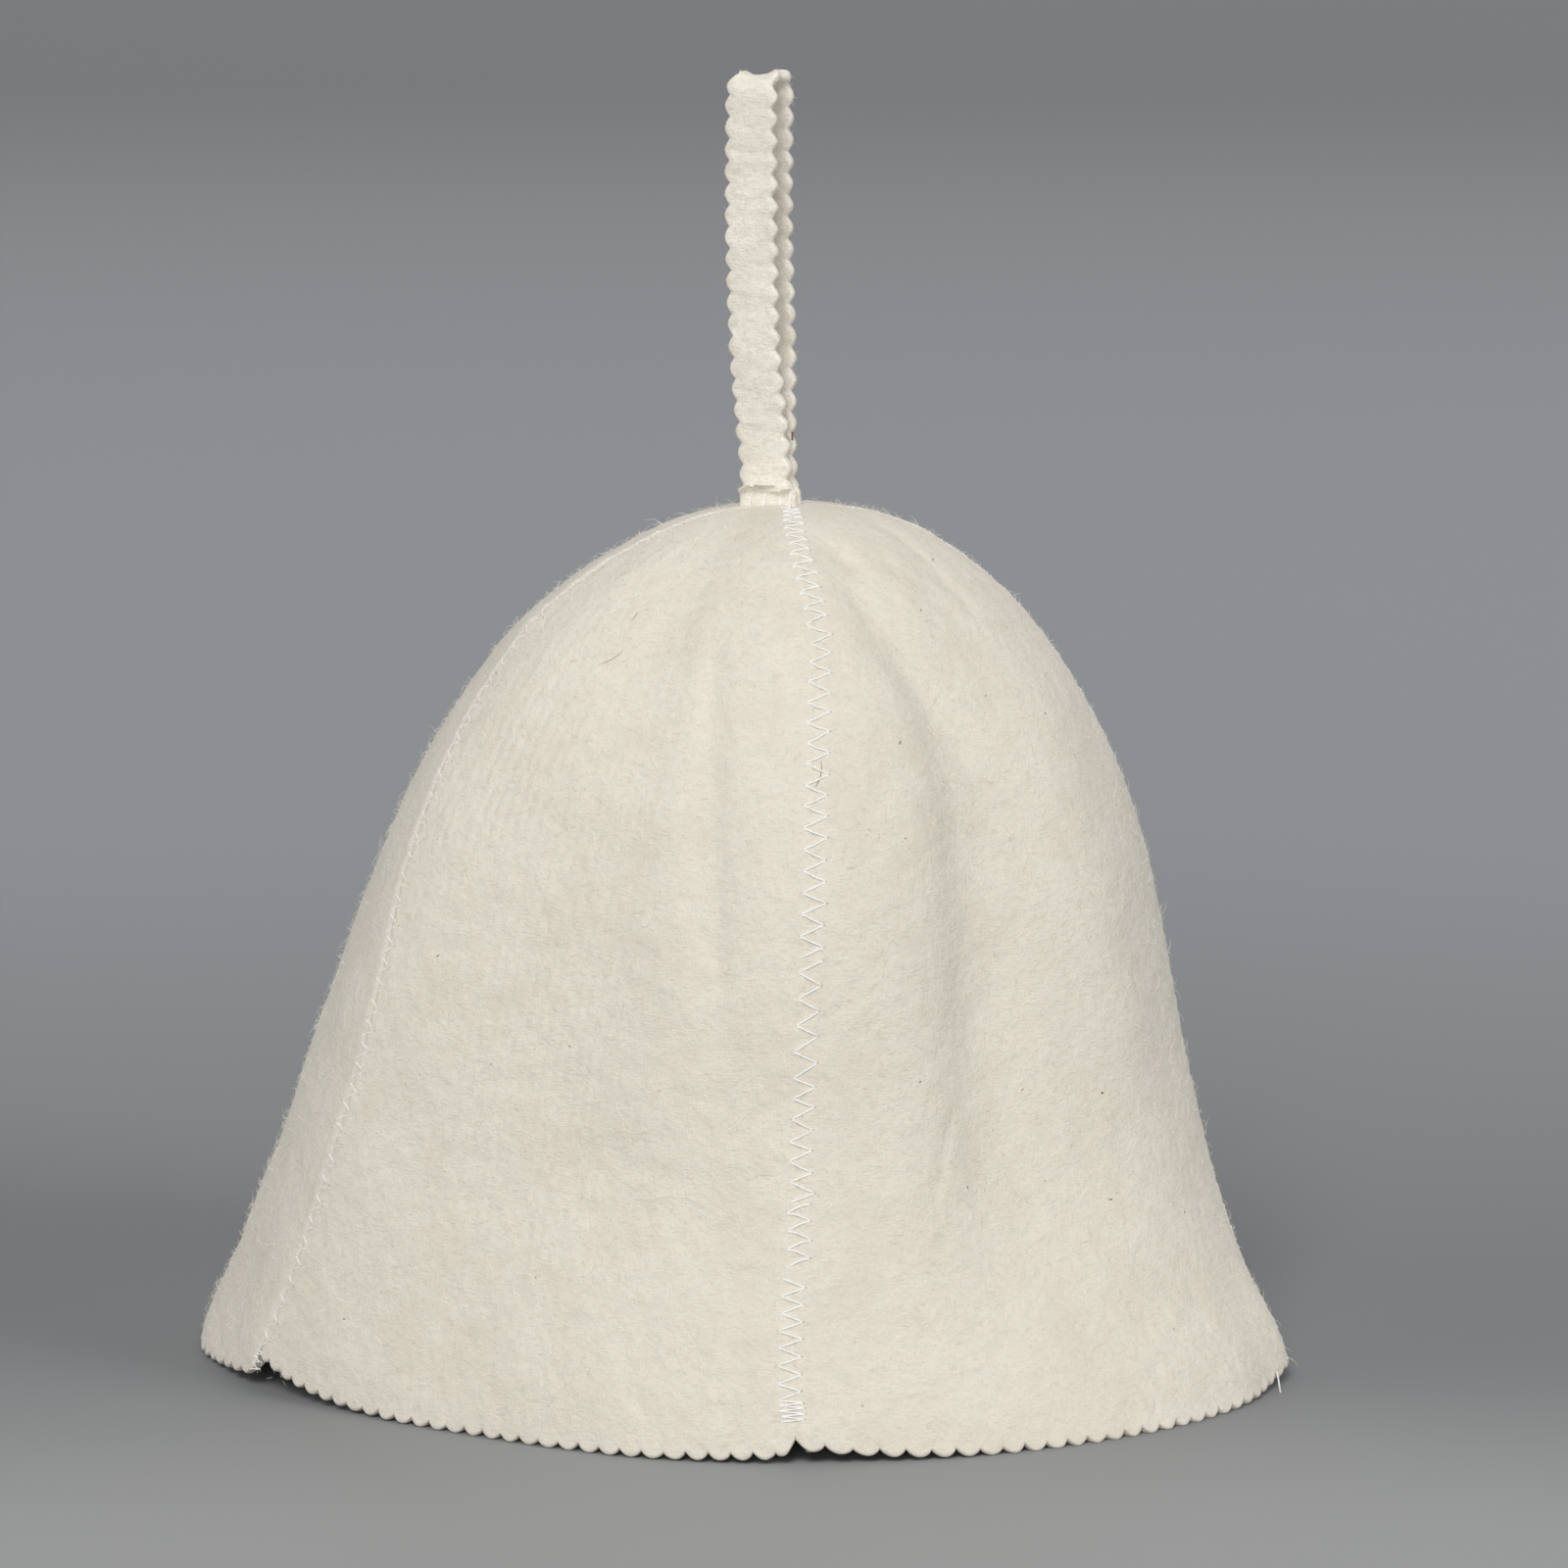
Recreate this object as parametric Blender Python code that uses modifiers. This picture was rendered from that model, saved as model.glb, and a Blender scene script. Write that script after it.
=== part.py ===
"""Sauna hat: a bell of five felt gores with a pinked hem, and a hanging loop of pinked felt strap.

The hat stands on its hem on Z = 0 with the front seam towards -Y and the middle of its bounding box
over the origin. Sizes below are in millimetres and azimuths in degrees round from -Y towards +X.
"""

import collections

import bpy
import numpy as np

METRES_PER_MM = 0.001

# Felt of the gores
FELT_THICKNESS = 3.0
SEAM_GAP = 0.3
FELT_COLOUR = (0.78, 0.74, 0.66, 1.0)
FELT_ROUGHNESS = 0.95

# Crown
NORMAL_STEP = 0.01
HEM_ROWS = 2.0
HEM_ROW_SAMPLES = 100
SEAM_RIDGE = 0.09
HEM_RIDGE_SHARE = 0.45
RIDGE_FULL_HEIGHT = 60.0

# A section across the crown is an ellipse. half_width is its longer half and depth_share the shorter
# half's share of it. turn is how far the longer half points forward of +X, and lean how far the
# section's middle stands towards +X. The other columns are the azimuths of the seams there.
Section = collections.namedtuple(
    "Section",
    "height half_width depth_share turn lean front right back_right back_left left",
)
SECTIONS = (
    Section(0.0, 156.5, 0.725, 18.5, 1.5, 2.5, 79.5, 152.0, 221.0, 297.5),
    Section(12.0, 152.2, 0.735, 17.5, 1.2, 2.6, 81.0, 152.0, 221.0, 299.0),
    Section(30.0, 144.2, 0.750, 16.0, 0.5, 3.8, 84.0, 152.5, 221.0, 301.3),
    Section(55.0, 135.4, 0.765, 13.8, 0.3, 5.7, 88.0, 153.0, 221.0, 303.7),
    Section(85.0, 125.8, 0.790, 10.7, 2.2, 6.6, 91.0, 153.5, 221.0, 305.0),
    Section(115.0, 116.7, 0.820, 8.0, 5.4, 7.3, 92.0, 154.0, 220.5, 304.0),
    Section(143.0, 107.1, 0.845, 5.2, 8.5, 7.9, 92.0, 154.5, 220.5, 300.5),
    Section(168.0, 95.9, 0.860, 3.0, 10.3, 8.6, 92.0, 155.0, 220.0, 298.5),
    Section(189.0, 82.5, 0.870, 1.0, 12.0, 9.6, 92.0, 155.0, 220.0, 295.8),
    Section(206.0, 68.3, 0.880, 0.0, 13.4, 11.0, 91.0, 155.0, 220.0, 293.7),
    Section(217.0, 55.0, 0.890, 0.0, 15.2, 9.4, 90.0, 155.0, 220.0, 293.7),
    Section(226.0, 40.3, 0.900, 0.0, 17.0, 6.5, 88.0, 155.0, 220.0, 293.2),
    Section(231.4, 26.0, 0.900, 0.0, 18.3, 3.0, 85.0, 155.0, 220.0, 293.0),
    Section(233.6, 12.0, 0.900, 0.0, 18.8, 2.0, 82.0, 155.0, 220.0, 293.0),
    Section(234.0, 2.0, 0.900, 0.0, 18.8, 2.0, 82.0, 155.0, 220.0, 293.0),
)

# Soft folds: a fold runs from its low azimuth and height to its high ones, and fades out at both ends.
# A negative depth is a bulge. half_width is in degrees.
FOLD_FADE_POWER = 0.8
Fold = collections.namedtuple(
    "Fold", "low_azimuth high_azimuth low_height high_height depth half_width"
)
FOLDS = (
    Fold(31.0, 35.0, 22.0, 206.0, 2.2, 5.5),
    Fold(38.0, 42.0, 20.0, 208.0, 3.4, 11.0),
    Fold(42.0, 18.0, 168.0, 231.0, 3.0, 6.0),
    Fold(64.0, 64.0, 10.0, 222.0, -2.2, 9.0),
    Fold(-11.0, -14.0, 60.0, 200.0, -0.9, 5.5),
    Fold(2.5, -7.0, 92.0, 216.0, 1.5, 4.0),
    Fold(-24.0, -28.0, 182.0, 232.0, 2.6, 10.0),
    Fold(-50.0, -48.0, 176.0, 229.0, -1.3, 8.0),
    Fold(-14.0, -14.0, -60.0, 70.0, -5.0, 20.0),
    Fold(118.0, 112.0, 20.0, 190.0, 3.0, 9.0),
    Fold(182.0, 188.0, 60.0, 215.0, 3.5, 9.0),
    Fold(-142.0, -136.0, 30.0, 200.0, 2.5, 9.0),
)

# Gores, each from one seam to the next. columns is how many strips the panel is modelled in. The hem
# is lowest at the gore's middle and rises to its seams by first_rise and last_rise.
Gore = collections.namedtuple(
    "Gore", "name first_seam last_seam first_rise last_rise teeth columns"
)
GORES = (
    Gore("gore_front_right", "front", "right", 4.0, 3.4, 28, 28),
    Gore("gore_back_right", "right", "back_right", 2.5, 5.0, 30, 15),
    Gore("gore_back", "back_right", "back_left", 5.0, 5.0, 28, 14),
    Gore("gore_left", "back_left", "left", 5.0, 3.5, 28, 14),
    Gore("gore_front_left", "left", "front", 9.0, 2.0, 30, 30),
)

# Hem
LEVEL_HEM_SHARE = 0.08
HEM_RISE_POWER = 3
CORNER_RISE = 2.4
CORNER_REACH = 3.2
CORNER_POWER = 1.5
HEM_TOOTH_DEPTH = 1.7

# A pinked tooth is a flat-tipped bump: share of the pitch along it, share of the depth cut away there.
ToothPoint = collections.namedtuple("ToothPoint", "along cut")
HEM_TOOTH = (
    ToothPoint(0.0, 1.0),
    ToothPoint(0.12, 0.45),
    ToothPoint(0.3, 0.0),
    ToothPoint(0.7, 0.0),
    ToothPoint(0.88, 0.45),
)
STRAP_TOOTH = (
    ToothPoint(0.0, 1.0),
    ToothPoint(0.2, 0.25),
    ToothPoint(0.5, 0.0),
    ToothPoint(0.8, 0.25),
)

# Hanging loop: a strap folded in two, its legs side by side through a slot in the crown's top
STRAP_WIDTH = 14.7
STRAP_THICKNESS = 2.8
STRAP_TEETH = 44
STRAP_TOOTH_DEPTH = 1.5
STRAP_TURN = 20.0
LOOP_BASE_X = 13.7
LOOP_TOP_X = 10.8
LOOP_BASE_HEIGHT = 234.0
LOOP_TOP_HEIGHT = 350.0
LOOP_END_DEPTH = 12.0
LEG_SPACING_AT_SLOT = 3.1
LEG_SPACING_AT_TOP = 12.0
LEG_SPREAD_START = 3.0
LEG_SPREAD_HEIGHT = 45.0
FOLD_FLAT_HALF = 1.6
LEG_SAMPLES = 120
BEND_SAMPLES = 16
STRAP_COLOUR = (0.80, 0.76, 0.68, 1.0)

# Slot for the loop
SLOT_WIDTH = 15.4
SLOT_THICKNESS = 6.6
SLOT_LENGTH = 30.0

# Middle of the finished hat's box, which is moved over the origin
BOX_CENTRE_X = 3.76
BOX_CENTRE_Y = -2.94


def smoothstep(value):
    """0 below 0, 1 above 1, and an even S between."""
    share = np.clip(value, 0.0, 1.0)
    return share * share * (3.0 - 2.0 * share)


def at_row(column, row):
    """A column of SECTIONS at a fractional row, on a smooth curve through the rows."""
    values = np.array([getattr(section, column) for section in SECTIONS])
    last = len(values) - 1
    low = np.clip(np.floor(row).astype(int), 0, last - 1)
    share = row - low
    here, above = values[low], values[low + 1]
    below = np.where(low > 0, values[np.maximum(low - 1, 0)], 2 * here - above)
    beyond = np.where(low + 2 <= last, values[np.minimum(low + 2, last)], 2 * above - here)
    curve = 3 * (here - above) + beyond - below
    curve = 2 * below - 5 * here + 4 * above - beyond + share * curve
    return here + 0.5 * share * (above - below + share * curve)


def row_at(height):
    """The fractional row, near the hem, at which the crown has a height."""
    rows = np.linspace(0.0, HEM_ROWS, HEM_ROW_SAMPLES)
    return np.interp(height, at_row("height", rows), rows)


def fold_depth(azimuth, height):
    """How far the folds draw the felt in at an azimuth and height."""
    depth = np.zeros_like(azimuth)
    for fold in FOLDS:
        share = (height - fold.low_height) / (fold.high_height - fold.low_height)
        share = np.clip(share, 0.0, 1.0)
        centre = fold.low_azimuth + (fold.high_azimuth - fold.low_azimuth) * share
        aside = np.mod(azimuth - centre + 180.0, 360.0) - 180.0
        along = np.sin(np.pi * share) ** FOLD_FADE_POWER
        depth += fold.depth * along * np.exp(-((aside / fold.half_width) ** 2))
    return depth


def crown_points(azimuth, row, drawn_in):
    """Points of the crown's ellipses, each drawn in towards the axis by a length."""
    turn = np.radians(at_row("turn", row))
    radius = at_row("half_width", row) - drawn_in
    x = radius * np.sin(np.radians(azimuth))
    y = -radius * np.cos(np.radians(azimuth))
    along = x * np.cos(turn) - y * np.sin(turn)
    across = (x * np.sin(turn) + y * np.cos(turn)) * at_row("depth_share", row)
    x = along * np.cos(turn) + across * np.sin(turn) + at_row("lean", row)
    y = across * np.cos(turn) - along * np.sin(turn)
    return np.stack([x, y, at_row("height", row)], axis=-1)


def crown_normals(azimuth, row):
    """Outward normals of the crown without its ridges and folds, the same on both sides of a seam."""
    step = NORMAL_STEP
    last = len(SECTIONS) - 1.0
    above, below = np.minimum(row + step, last), np.maximum(row - step, 0.0)
    up = crown_points(azimuth, above, 0.0) - crown_points(azimuth, below, 0.0)
    around = crown_points(azimuth + step, row, 0.0) - crown_points(azimuth - step, row, 0.0)
    normals = np.cross(around, up)
    return normals / np.linalg.norm(normals, axis=-1, keepdims=True)


def seam_azimuths(gore, row):
    """Azimuths of a gore's two edges at a row, half a seam gap inside the seams."""
    first, last = at_row(gore.first_seam, row), at_row(gore.last_seam, row)
    last = np.where(last < first, last + 360.0, last)
    gap = np.degrees(0.5 * SEAM_GAP / at_row("half_width", row))
    return first + gap, last - gap


def gore_azimuth(gore, across, row):
    """Azimuth at a place across a gore, from -1 at its first seam to 1 at its last."""
    first, last = seam_azimuths(gore, row)
    return first + (last - first) * 0.5 * (across + 1.0)


def gore_surface(gore, across, row):
    """Points of a gore's outer face: the ellipse, flattened between the seams and drawn in by folds."""
    azimuth = gore_azimuth(gore, across, row)
    height = at_row("height", row)
    flatness = 0.5 * (1.0 - across**2) + 0.5 * np.cos(0.5 * np.pi * across) ** 2
    ridge = np.clip(height / RIDGE_FULL_HEIGHT, 0.0, 1.0)
    ridge = SEAM_RIDGE * (HEM_RIDGE_SHARE + (1.0 - HEM_RIDGE_SHARE) * ridge)
    drawn_in = at_row("half_width", row) * ridge * flatness + fold_depth(azimuth, height)
    return crown_points(azimuth, row, drawn_in)


def hem_rise(gore, across):
    """How far a gore's hem rises above its lowest, which it keeps near its middle."""
    side = np.maximum(np.abs(across) - LEVEL_HEM_SHARE, 0.0) / (1.0 - LEVEL_HEM_SHARE)
    return np.where(across < 0.0, gore.first_rise, gore.last_rise) * side**HEM_RISE_POWER


def tooth_stations(tooth_points, teeth):
    """Places along a run of teeth, in pitches, and the share of the depth cut away at each."""
    along = [tooth + point.along for tooth in range(teeth) for point in tooth_points]
    cut = [point.cut for _ in range(teeth) for point in tooth_points]
    return np.array(along + [float(teeth)]), np.array(cut + [tooth_points[0].cut])


def hem_edge(gore):
    """The pinked lower edge of a gore: its outer points and its inner points, cut square."""
    along, cut = tooth_stations(HEM_TOOTH, gore.teeth)
    across = 2.0 * along / gore.teeth - 1.0
    straight = gore_surface(gore, across, np.zeros_like(across))
    run = np.concatenate([[0.0], np.cumsum(np.linalg.norm(np.diff(straight, axis=0), axis=1))])
    from_corner = np.minimum(run, run[-1] - run)
    corner = CORNER_RISE * np.clip(1.0 - from_corner / CORNER_REACH, 0.0, 1.0) ** CORNER_POWER
    row = row_at(hem_rise(gore, across) + np.maximum(HEM_TOOTH_DEPTH * cut, corner))
    outer = gore_surface(gore, across, row)
    normals = crown_normals(gore_azimuth(gore, across, row), row)
    normals[:, 2] = 0.0
    normals /= np.linalg.norm(normals, axis=-1, keepdims=True)
    return outer, outer - FELT_THICKNESS * normals


def gore_faces(gore, rows, hem_points):
    """Faces of a gore over its four sets of points: outer and inner hem, outer and inner grid."""
    width = gore.columns + 1
    segments = (hem_points - 1) // gore.columns
    hem = (0, hem_points)
    grid = (2 * hem_points, 2 * hem_points + rows * width)
    faces = []
    for side in (0, 1):
        turn = -1 if side else 1
        for column in range(gore.columns):
            start = hem[side] + column * segments
            top = grid[side] + column
            band = list(range(start, start + segments + 1)) + [top + 1, top]
            faces.append(band[::turn])
            for row in range(rows - 1):
                corner = top + row * width
                faces.append([corner, corner + 1, corner + width + 1, corner + width][::turn])
    for point in range(hem_points - 1):
        under = point + hem_points
        faces.append([point, under, under + 1, point + 1])
    top = (rows - 1) * width
    for column in range(gore.columns):
        outer, inner = grid[0] + top + column, grid[1] + top + column
        faces.append([outer, outer + 1, inner + 1, inner])
    for column, hem_point, turn in ((0, 0, 1), (gore.columns, hem_points - 1, -1)):
        outer = [hem_point] + [grid[0] + row * width + column for row in range(rows)]
        inner = [hem_points + hem_point] + [grid[1] + row * width + column for row in range(rows)]
        for low in range(rows):
            faces.append([outer[low], outer[low + 1], inner[low + 1], inner[low]][::turn])
    return faces


def gore_mesh(gore):
    """Points and faces of a gore as a closed shell between its outer and inner face."""
    rows = len(SECTIONS) - 1
    across, row = np.meshgrid(
        np.linspace(-1.0, 1.0, gore.columns + 1), np.arange(1.0, rows + 1.0)
    )
    outer = gore_surface(gore, across, row)
    inner = outer - FELT_THICKNESS * crown_normals(gore_azimuth(gore, across, row), row)
    hem_outer, hem_inner = hem_edge(gore)
    points = [hem_outer, hem_inner, outer.reshape(-1, 3), inner.reshape(-1, 3)]
    return np.concatenate(points), gore_faces(gore, rows, len(hem_outer))


def loop_path():
    """The strap's middle line from end to end, as pairs of how far in front and how far up."""
    half_top = 0.5 * LEG_SPACING_AT_TOP
    half_slot = 0.5 * LEG_SPACING_AT_SLOT
    bend = half_top - FOLD_FLAT_HALF
    top = LOOP_TOP_HEIGHT - LOOP_BASE_HEIGHT - 0.5 * STRAP_THICKNESS
    up = np.linspace(-LOOP_END_DEPTH, top - bend, LEG_SAMPLES)
    spread = smoothstep((up - LEG_SPREAD_START) / LEG_SPREAD_HEIGHT)
    leg = np.stack([half_slot + (half_top - half_slot) * spread, up], axis=-1)
    angle = np.linspace(0.0, 0.5 * np.pi, BEND_SAMPLES)[1:]
    corner = np.stack([FOLD_FLAT_HALF + bend * np.cos(angle), top - bend + bend * np.sin(angle)], axis=-1)
    half = np.concatenate([leg, corner])
    return np.concatenate([half, half[::-1] * [-1.0, 1.0]])


def loop_surface():
    """Points and faces of the strap's middle surface, pinked along both edges."""
    path = loop_path()
    run = np.concatenate([[0.0], np.cumsum(np.linalg.norm(np.diff(path, axis=0), axis=1))])
    along, cut = tooth_stations(STRAP_TOOTH, STRAP_TEETH)
    along *= run[-1] / STRAP_TEETH
    forward = np.interp(along, run, path[:, 0])
    up = np.interp(along, run, path[:, 1])
    half_width = 0.5 * STRAP_WIDTH - STRAP_TOOTH_DEPTH * cut
    turn = np.radians(STRAP_TURN)
    front = np.array([-np.sin(turn), -np.cos(turn), 0.0])
    sideways = np.array([np.cos(turn), -np.sin(turn), 0.0])
    rise = np.array([(LOOP_TOP_X - LOOP_BASE_X) / (LOOP_TOP_HEIGHT - LOOP_BASE_HEIGHT), 0.0, 1.0])
    base = np.array([LOOP_BASE_X, 0.0, LOOP_BASE_HEIGHT])
    middle = base + np.outer(forward, front) + np.outer(up, rise)
    edge = np.outer(half_width, sideways)
    points = np.stack([middle - edge, middle + edge], axis=1).reshape(-1, 3)
    faces = [
        [2 * step, 2 * step + 1, 2 * step + 3, 2 * step + 2] for step in range(len(along) - 1)
    ]
    return points, faces


def clear_scene():
    """Removes every object and collection already in the scene."""
    for item in list(bpy.data.objects):
        bpy.data.objects.remove(item, do_unlink=True)
    for item in list(bpy.data.collections):
        bpy.data.collections.remove(item)


def new_collection(name):
    """A collection of this name, linked to the scene."""
    collection = bpy.data.collections.new(name)
    bpy.context.scene.collection.children.link(collection)
    return collection


def new_material(name, colour):
    """A felt material: rough and not shiny."""
    material = bpy.data.materials.new(name)
    material.use_nodes = True
    shader = material.node_tree.nodes["Principled BSDF"]
    shader.inputs["Base Color"].default_value = colour
    shader.inputs["Roughness"].default_value = FELT_ROUGHNESS
    material.diffuse_color = colour
    return material


def new_object(name, points, faces, collection, parent, colour):
    """An object made from points in millimetres, moved so that the hat's box is over the origin."""
    points = (points - [BOX_CENTRE_X, BOX_CENTRE_Y, 0.0]) * METRES_PER_MM
    mesh = bpy.data.meshes.new(name)
    mesh.from_pydata(points.tolist(), [], faces)
    mesh.update()
    obj = bpy.data.objects.new(name, mesh)
    mesh.materials.append(new_material(name + "_felt", colour))
    collection.objects.link(obj)
    obj.parent = parent
    return obj


def slot_cutter(collection):
    """A block as wide and thick as the slot, standing through the crown's top."""
    bpy.ops.mesh.primitive_cube_add(size=1.0)
    cutter = bpy.context.active_object
    cutter.name = "slot_cutter"
    for old in list(cutter.users_collection):
        old.objects.unlink(cutter)
    collection.objects.link(cutter)
    middle = (LOOP_BASE_X - BOX_CENTRE_X, -BOX_CENTRE_Y, LOOP_BASE_HEIGHT)
    cutter.location = [METRES_PER_MM * value for value in middle]
    cutter.rotation_euler = (0.0, 0.0, np.radians(-STRAP_TURN))
    cutter.scale = [METRES_PER_MM * value for value in (SLOT_WIDTH, SLOT_THICKNESS, SLOT_LENGTH)]
    cutter.hide_render = True
    cutter.display_type = "WIRE"
    return cutter


def build_hat():
    """The whole hat: five gores cut by the slot, and the loop."""
    clear_scene()
    hat = new_collection("sauna_hat")
    cutters = new_collection("cutters")
    cutters.hide_render = True
    root = bpy.data.objects.new("sauna_hat_root", None)
    hat.objects.link(root)
    cutter = slot_cutter(cutters)
    for gore in GORES:
        points, faces = gore_mesh(gore)
        panel = new_object(gore.name, points, faces, hat, root, FELT_COLOUR)
        slot = panel.modifiers.new("slot", "BOOLEAN")
        slot.operation = "DIFFERENCE"
        slot.solver = "EXACT"
        slot.object = cutter
    points, faces = loop_surface()
    loop = new_object("hanging_loop", points, faces, hat, root, STRAP_COLOUR)
    felt = loop.modifiers.new("felt", "SOLIDIFY")
    felt.thickness = STRAP_THICKNESS * METRES_PER_MM
    felt.offset = 0.0
    felt.use_even_offset = True


build_hat()
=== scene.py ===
"""Felt sauna hat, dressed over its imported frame.

Five sewn felt gores with a pinked hem, their zigzag seams, a hanging loop of pinked felt strap, and
the felt's own fuzz and flecks, on a pale floor in soft light. Sizes and tables are in millimetres and
degrees, and azimuths go round from -Y towards +X. Meshes are in metres, in the frame's own place.
"""

import logging
import math
from dataclasses import dataclass, field
from enum import Enum

import bpy
import numpy as np
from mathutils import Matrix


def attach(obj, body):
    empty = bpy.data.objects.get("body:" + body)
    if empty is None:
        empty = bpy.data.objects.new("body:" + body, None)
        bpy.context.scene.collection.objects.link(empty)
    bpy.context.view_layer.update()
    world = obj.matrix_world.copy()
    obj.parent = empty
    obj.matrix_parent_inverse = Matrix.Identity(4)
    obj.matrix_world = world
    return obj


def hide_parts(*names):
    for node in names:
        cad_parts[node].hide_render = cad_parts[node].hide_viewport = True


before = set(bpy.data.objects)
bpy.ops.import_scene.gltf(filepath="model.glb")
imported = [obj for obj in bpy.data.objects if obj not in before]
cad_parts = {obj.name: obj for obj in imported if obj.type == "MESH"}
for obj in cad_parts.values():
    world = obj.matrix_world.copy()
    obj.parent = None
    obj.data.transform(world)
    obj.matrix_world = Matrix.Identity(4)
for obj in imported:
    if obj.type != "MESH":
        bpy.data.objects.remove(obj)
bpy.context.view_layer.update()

Array = np.ndarray
Colour = tuple[float, float, float, float]
Spot = tuple[float, float, float]
Material = bpy.types.Material

LOG = logging.getLogger("sauna_hat")
ROOT_BODY = "root"
METRES_PER_MM = 0.001
BOX_CENTRE = np.array([3.76, -2.94, 0.0])
TAU = 2.0 * math.pi


def smoothstep(value: Array) -> Array:
    """An even S from 0 at or below 0 to 1 at or above 1."""
    share = np.clip(value, 0.0, 1.0)
    return share * share * (3.0 - 2.0 * share)


def bell(distance: Array, width: float) -> Array:
    """1 at no distance and 1/e at a width: the exponential of minus the square of their ratio."""
    return np.exp(-((distance / width) ** 2))


def signed_power(value: Array, power: float) -> Array:
    """A power of each value's size, with the value's own sign."""
    return np.sign(value) * np.abs(value) ** power


def degrees_from(azimuth: Array, middle: "Array | float") -> Array:
    """The turn from a middle to an azimuth, from -180 to 180."""
    return np.mod(azimuth - middle + 180.0, 360.0) - 180.0


def unit(vectors: Array) -> Array:
    """Each vector divided by its own length."""
    return vectors / np.linalg.norm(vectors, axis=-1, keepdims=True)


def running_length(points: Array) -> Array:
    """Length along a line of points, from its first point to each."""
    steps = np.linalg.norm(np.diff(points, axis=0), axis=-1)
    return np.concatenate([[0.0], np.cumsum(steps)])


# ---- Shader expressions


class Link:
    """A node's output, whose arithmetic adds Math nodes to its material."""

    def __init__(self, shader: "Shader", socket: bpy.types.NodeSocket) -> None:
        """Keeps the material that the output belongs to."""
        self.shader = shader
        self.socket = socket

    def math(self, operation: str, *others: "Link | float") -> "Link":
        """The result of a Math node on this output and others."""
        inputs = dict(enumerate((self, *others)))
        return self.shader.add("ShaderNodeMath", {"operation": operation}, inputs)

    def __add__(self, other: "Link | float") -> "Link":
        """Sum."""
        return self.math("ADD", other)

    def __mul__(self, other: "Link | float") -> "Link":
        """Product."""
        return self.math("MULTIPLY", other)

    def __rsub__(self, other: float) -> "Link":
        """A number less this output."""
        return self.shader.add("ShaderNodeMath", {"operation": "SUBTRACT"}, {0: other, 1: self})

    __radd__ = __add__
    __rmul__ = __mul__

    def between(self, low: float, high: float) -> "Link":
        """An even S from 0 where this output is low to 1 where it is high."""
        inputs = {"Value": self, "From Min": low, "From Max": high}
        return self.shader.add("ShaderNodeMapRange", {"interpolation_type": "SMOOTHSTEP"}, inputs)


class Shader:
    """The node tree of one material with a Principled shader."""

    def __init__(self, name: str, constants: dict[str, object]) -> None:
        """Makes the material.

        Args:
            name: The material's name.
            constants: Values of the Principled shader's sockets that are the same all over.
        """
        self.material = bpy.data.materials.new(name)
        self.material.use_nodes = True
        self.tree = self.material.node_tree
        self.principled = self.tree.nodes["Principled BSDF"]
        for socket, value in constants.items():
            self.principled.inputs[socket].default_value = value

    def add(
        self, kind: str, settings: dict[str, object], inputs: dict[object, object], output: object = 0
    ) -> Link:
        """Adds a node.

        Args:
            kind: The node's type.
            settings: Its properties, set before its sockets.
            inputs: Values or links of its sockets, by name or number.
            output: The name or number of the output to return.

        Returns:
            That output.
        """
        node = self.tree.nodes.new(kind)
        for key, value in settings.items():
            setattr(node, key, value)
        for key, value in inputs.items():
            if isinstance(value, Link):
                self.tree.links.new(value.socket, node.inputs[key])
            else:
                node.inputs[key].default_value = value
        return Link(self, node.outputs[output])

    def place(self) -> Link:
        """Object coordinates, in metres."""
        return self.add("ShaderNodeTexCoord", {}, {}, "Object")

    def noise(self, place: Link, scale: float, detail: float = 2.0, roughness: float = 0.5) -> Link:
        """Noise from 0 to 1, with a scale in features per metre."""
        inputs = {"Vector": place, "Scale": scale, "Detail": detail, "Roughness": roughness}
        return self.add("ShaderNodeTexNoise", {}, inputs, "Fac")

    def grain(self, place: Link, scale: Spot, turn: Spot) -> Link:
        """Noise on coordinates that are turned and then stretched, so that it runs one way."""
        inputs = {"Vector": place, "Scale": scale, "Rotation": turn}
        return self.noise(self.add("ShaderNodeMapping", {}, inputs), 1.0, 3.0, 0.75)

    def blend(self, share: Link, low: "Link | Colour", high: "Link | Colour") -> Link:
        """A colour that goes from low to high with a share from 0 to 1."""
        return self.add("ShaderNodeMix", {"data_type": "RGBA"}, {0: share, 6: low, 7: high}, 2)

    def near(self, place: Link, spot: Spot, reach: float) -> Link:
        """1 at a spot, falling to 0 at a reach from it, in metres."""
        away = self.add("ShaderNodeVectorMath", {"operation": "DISTANCE"}, {0: place, 1: spot}, "Value")
        return 1.0 - away.between(0.0, reach)

    def bump(self, height: Link, depth: float, strength: float, under: "Link | None" = None) -> Link:
        """A normal tipped by a height.

        Args:
            height: The height, from 0 to 1.
            depth: The metres that it stands for.
            strength: How strongly it tips the normal.
            under: A normal to tip further, if any.

        Returns:
            The normal.
        """
        inputs = {"Height": height, "Distance": depth, "Strength": strength}
        if under is not None:
            inputs["Normal"] = under
        return self.add("ShaderNodeBump", {}, inputs)

    def set(self, socket: str, link: Link) -> None:
        """Feeds a socket of the Principled shader."""
        self.tree.links.new(link.socket, self.principled.inputs[socket])


# ---- Finishes


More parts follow.
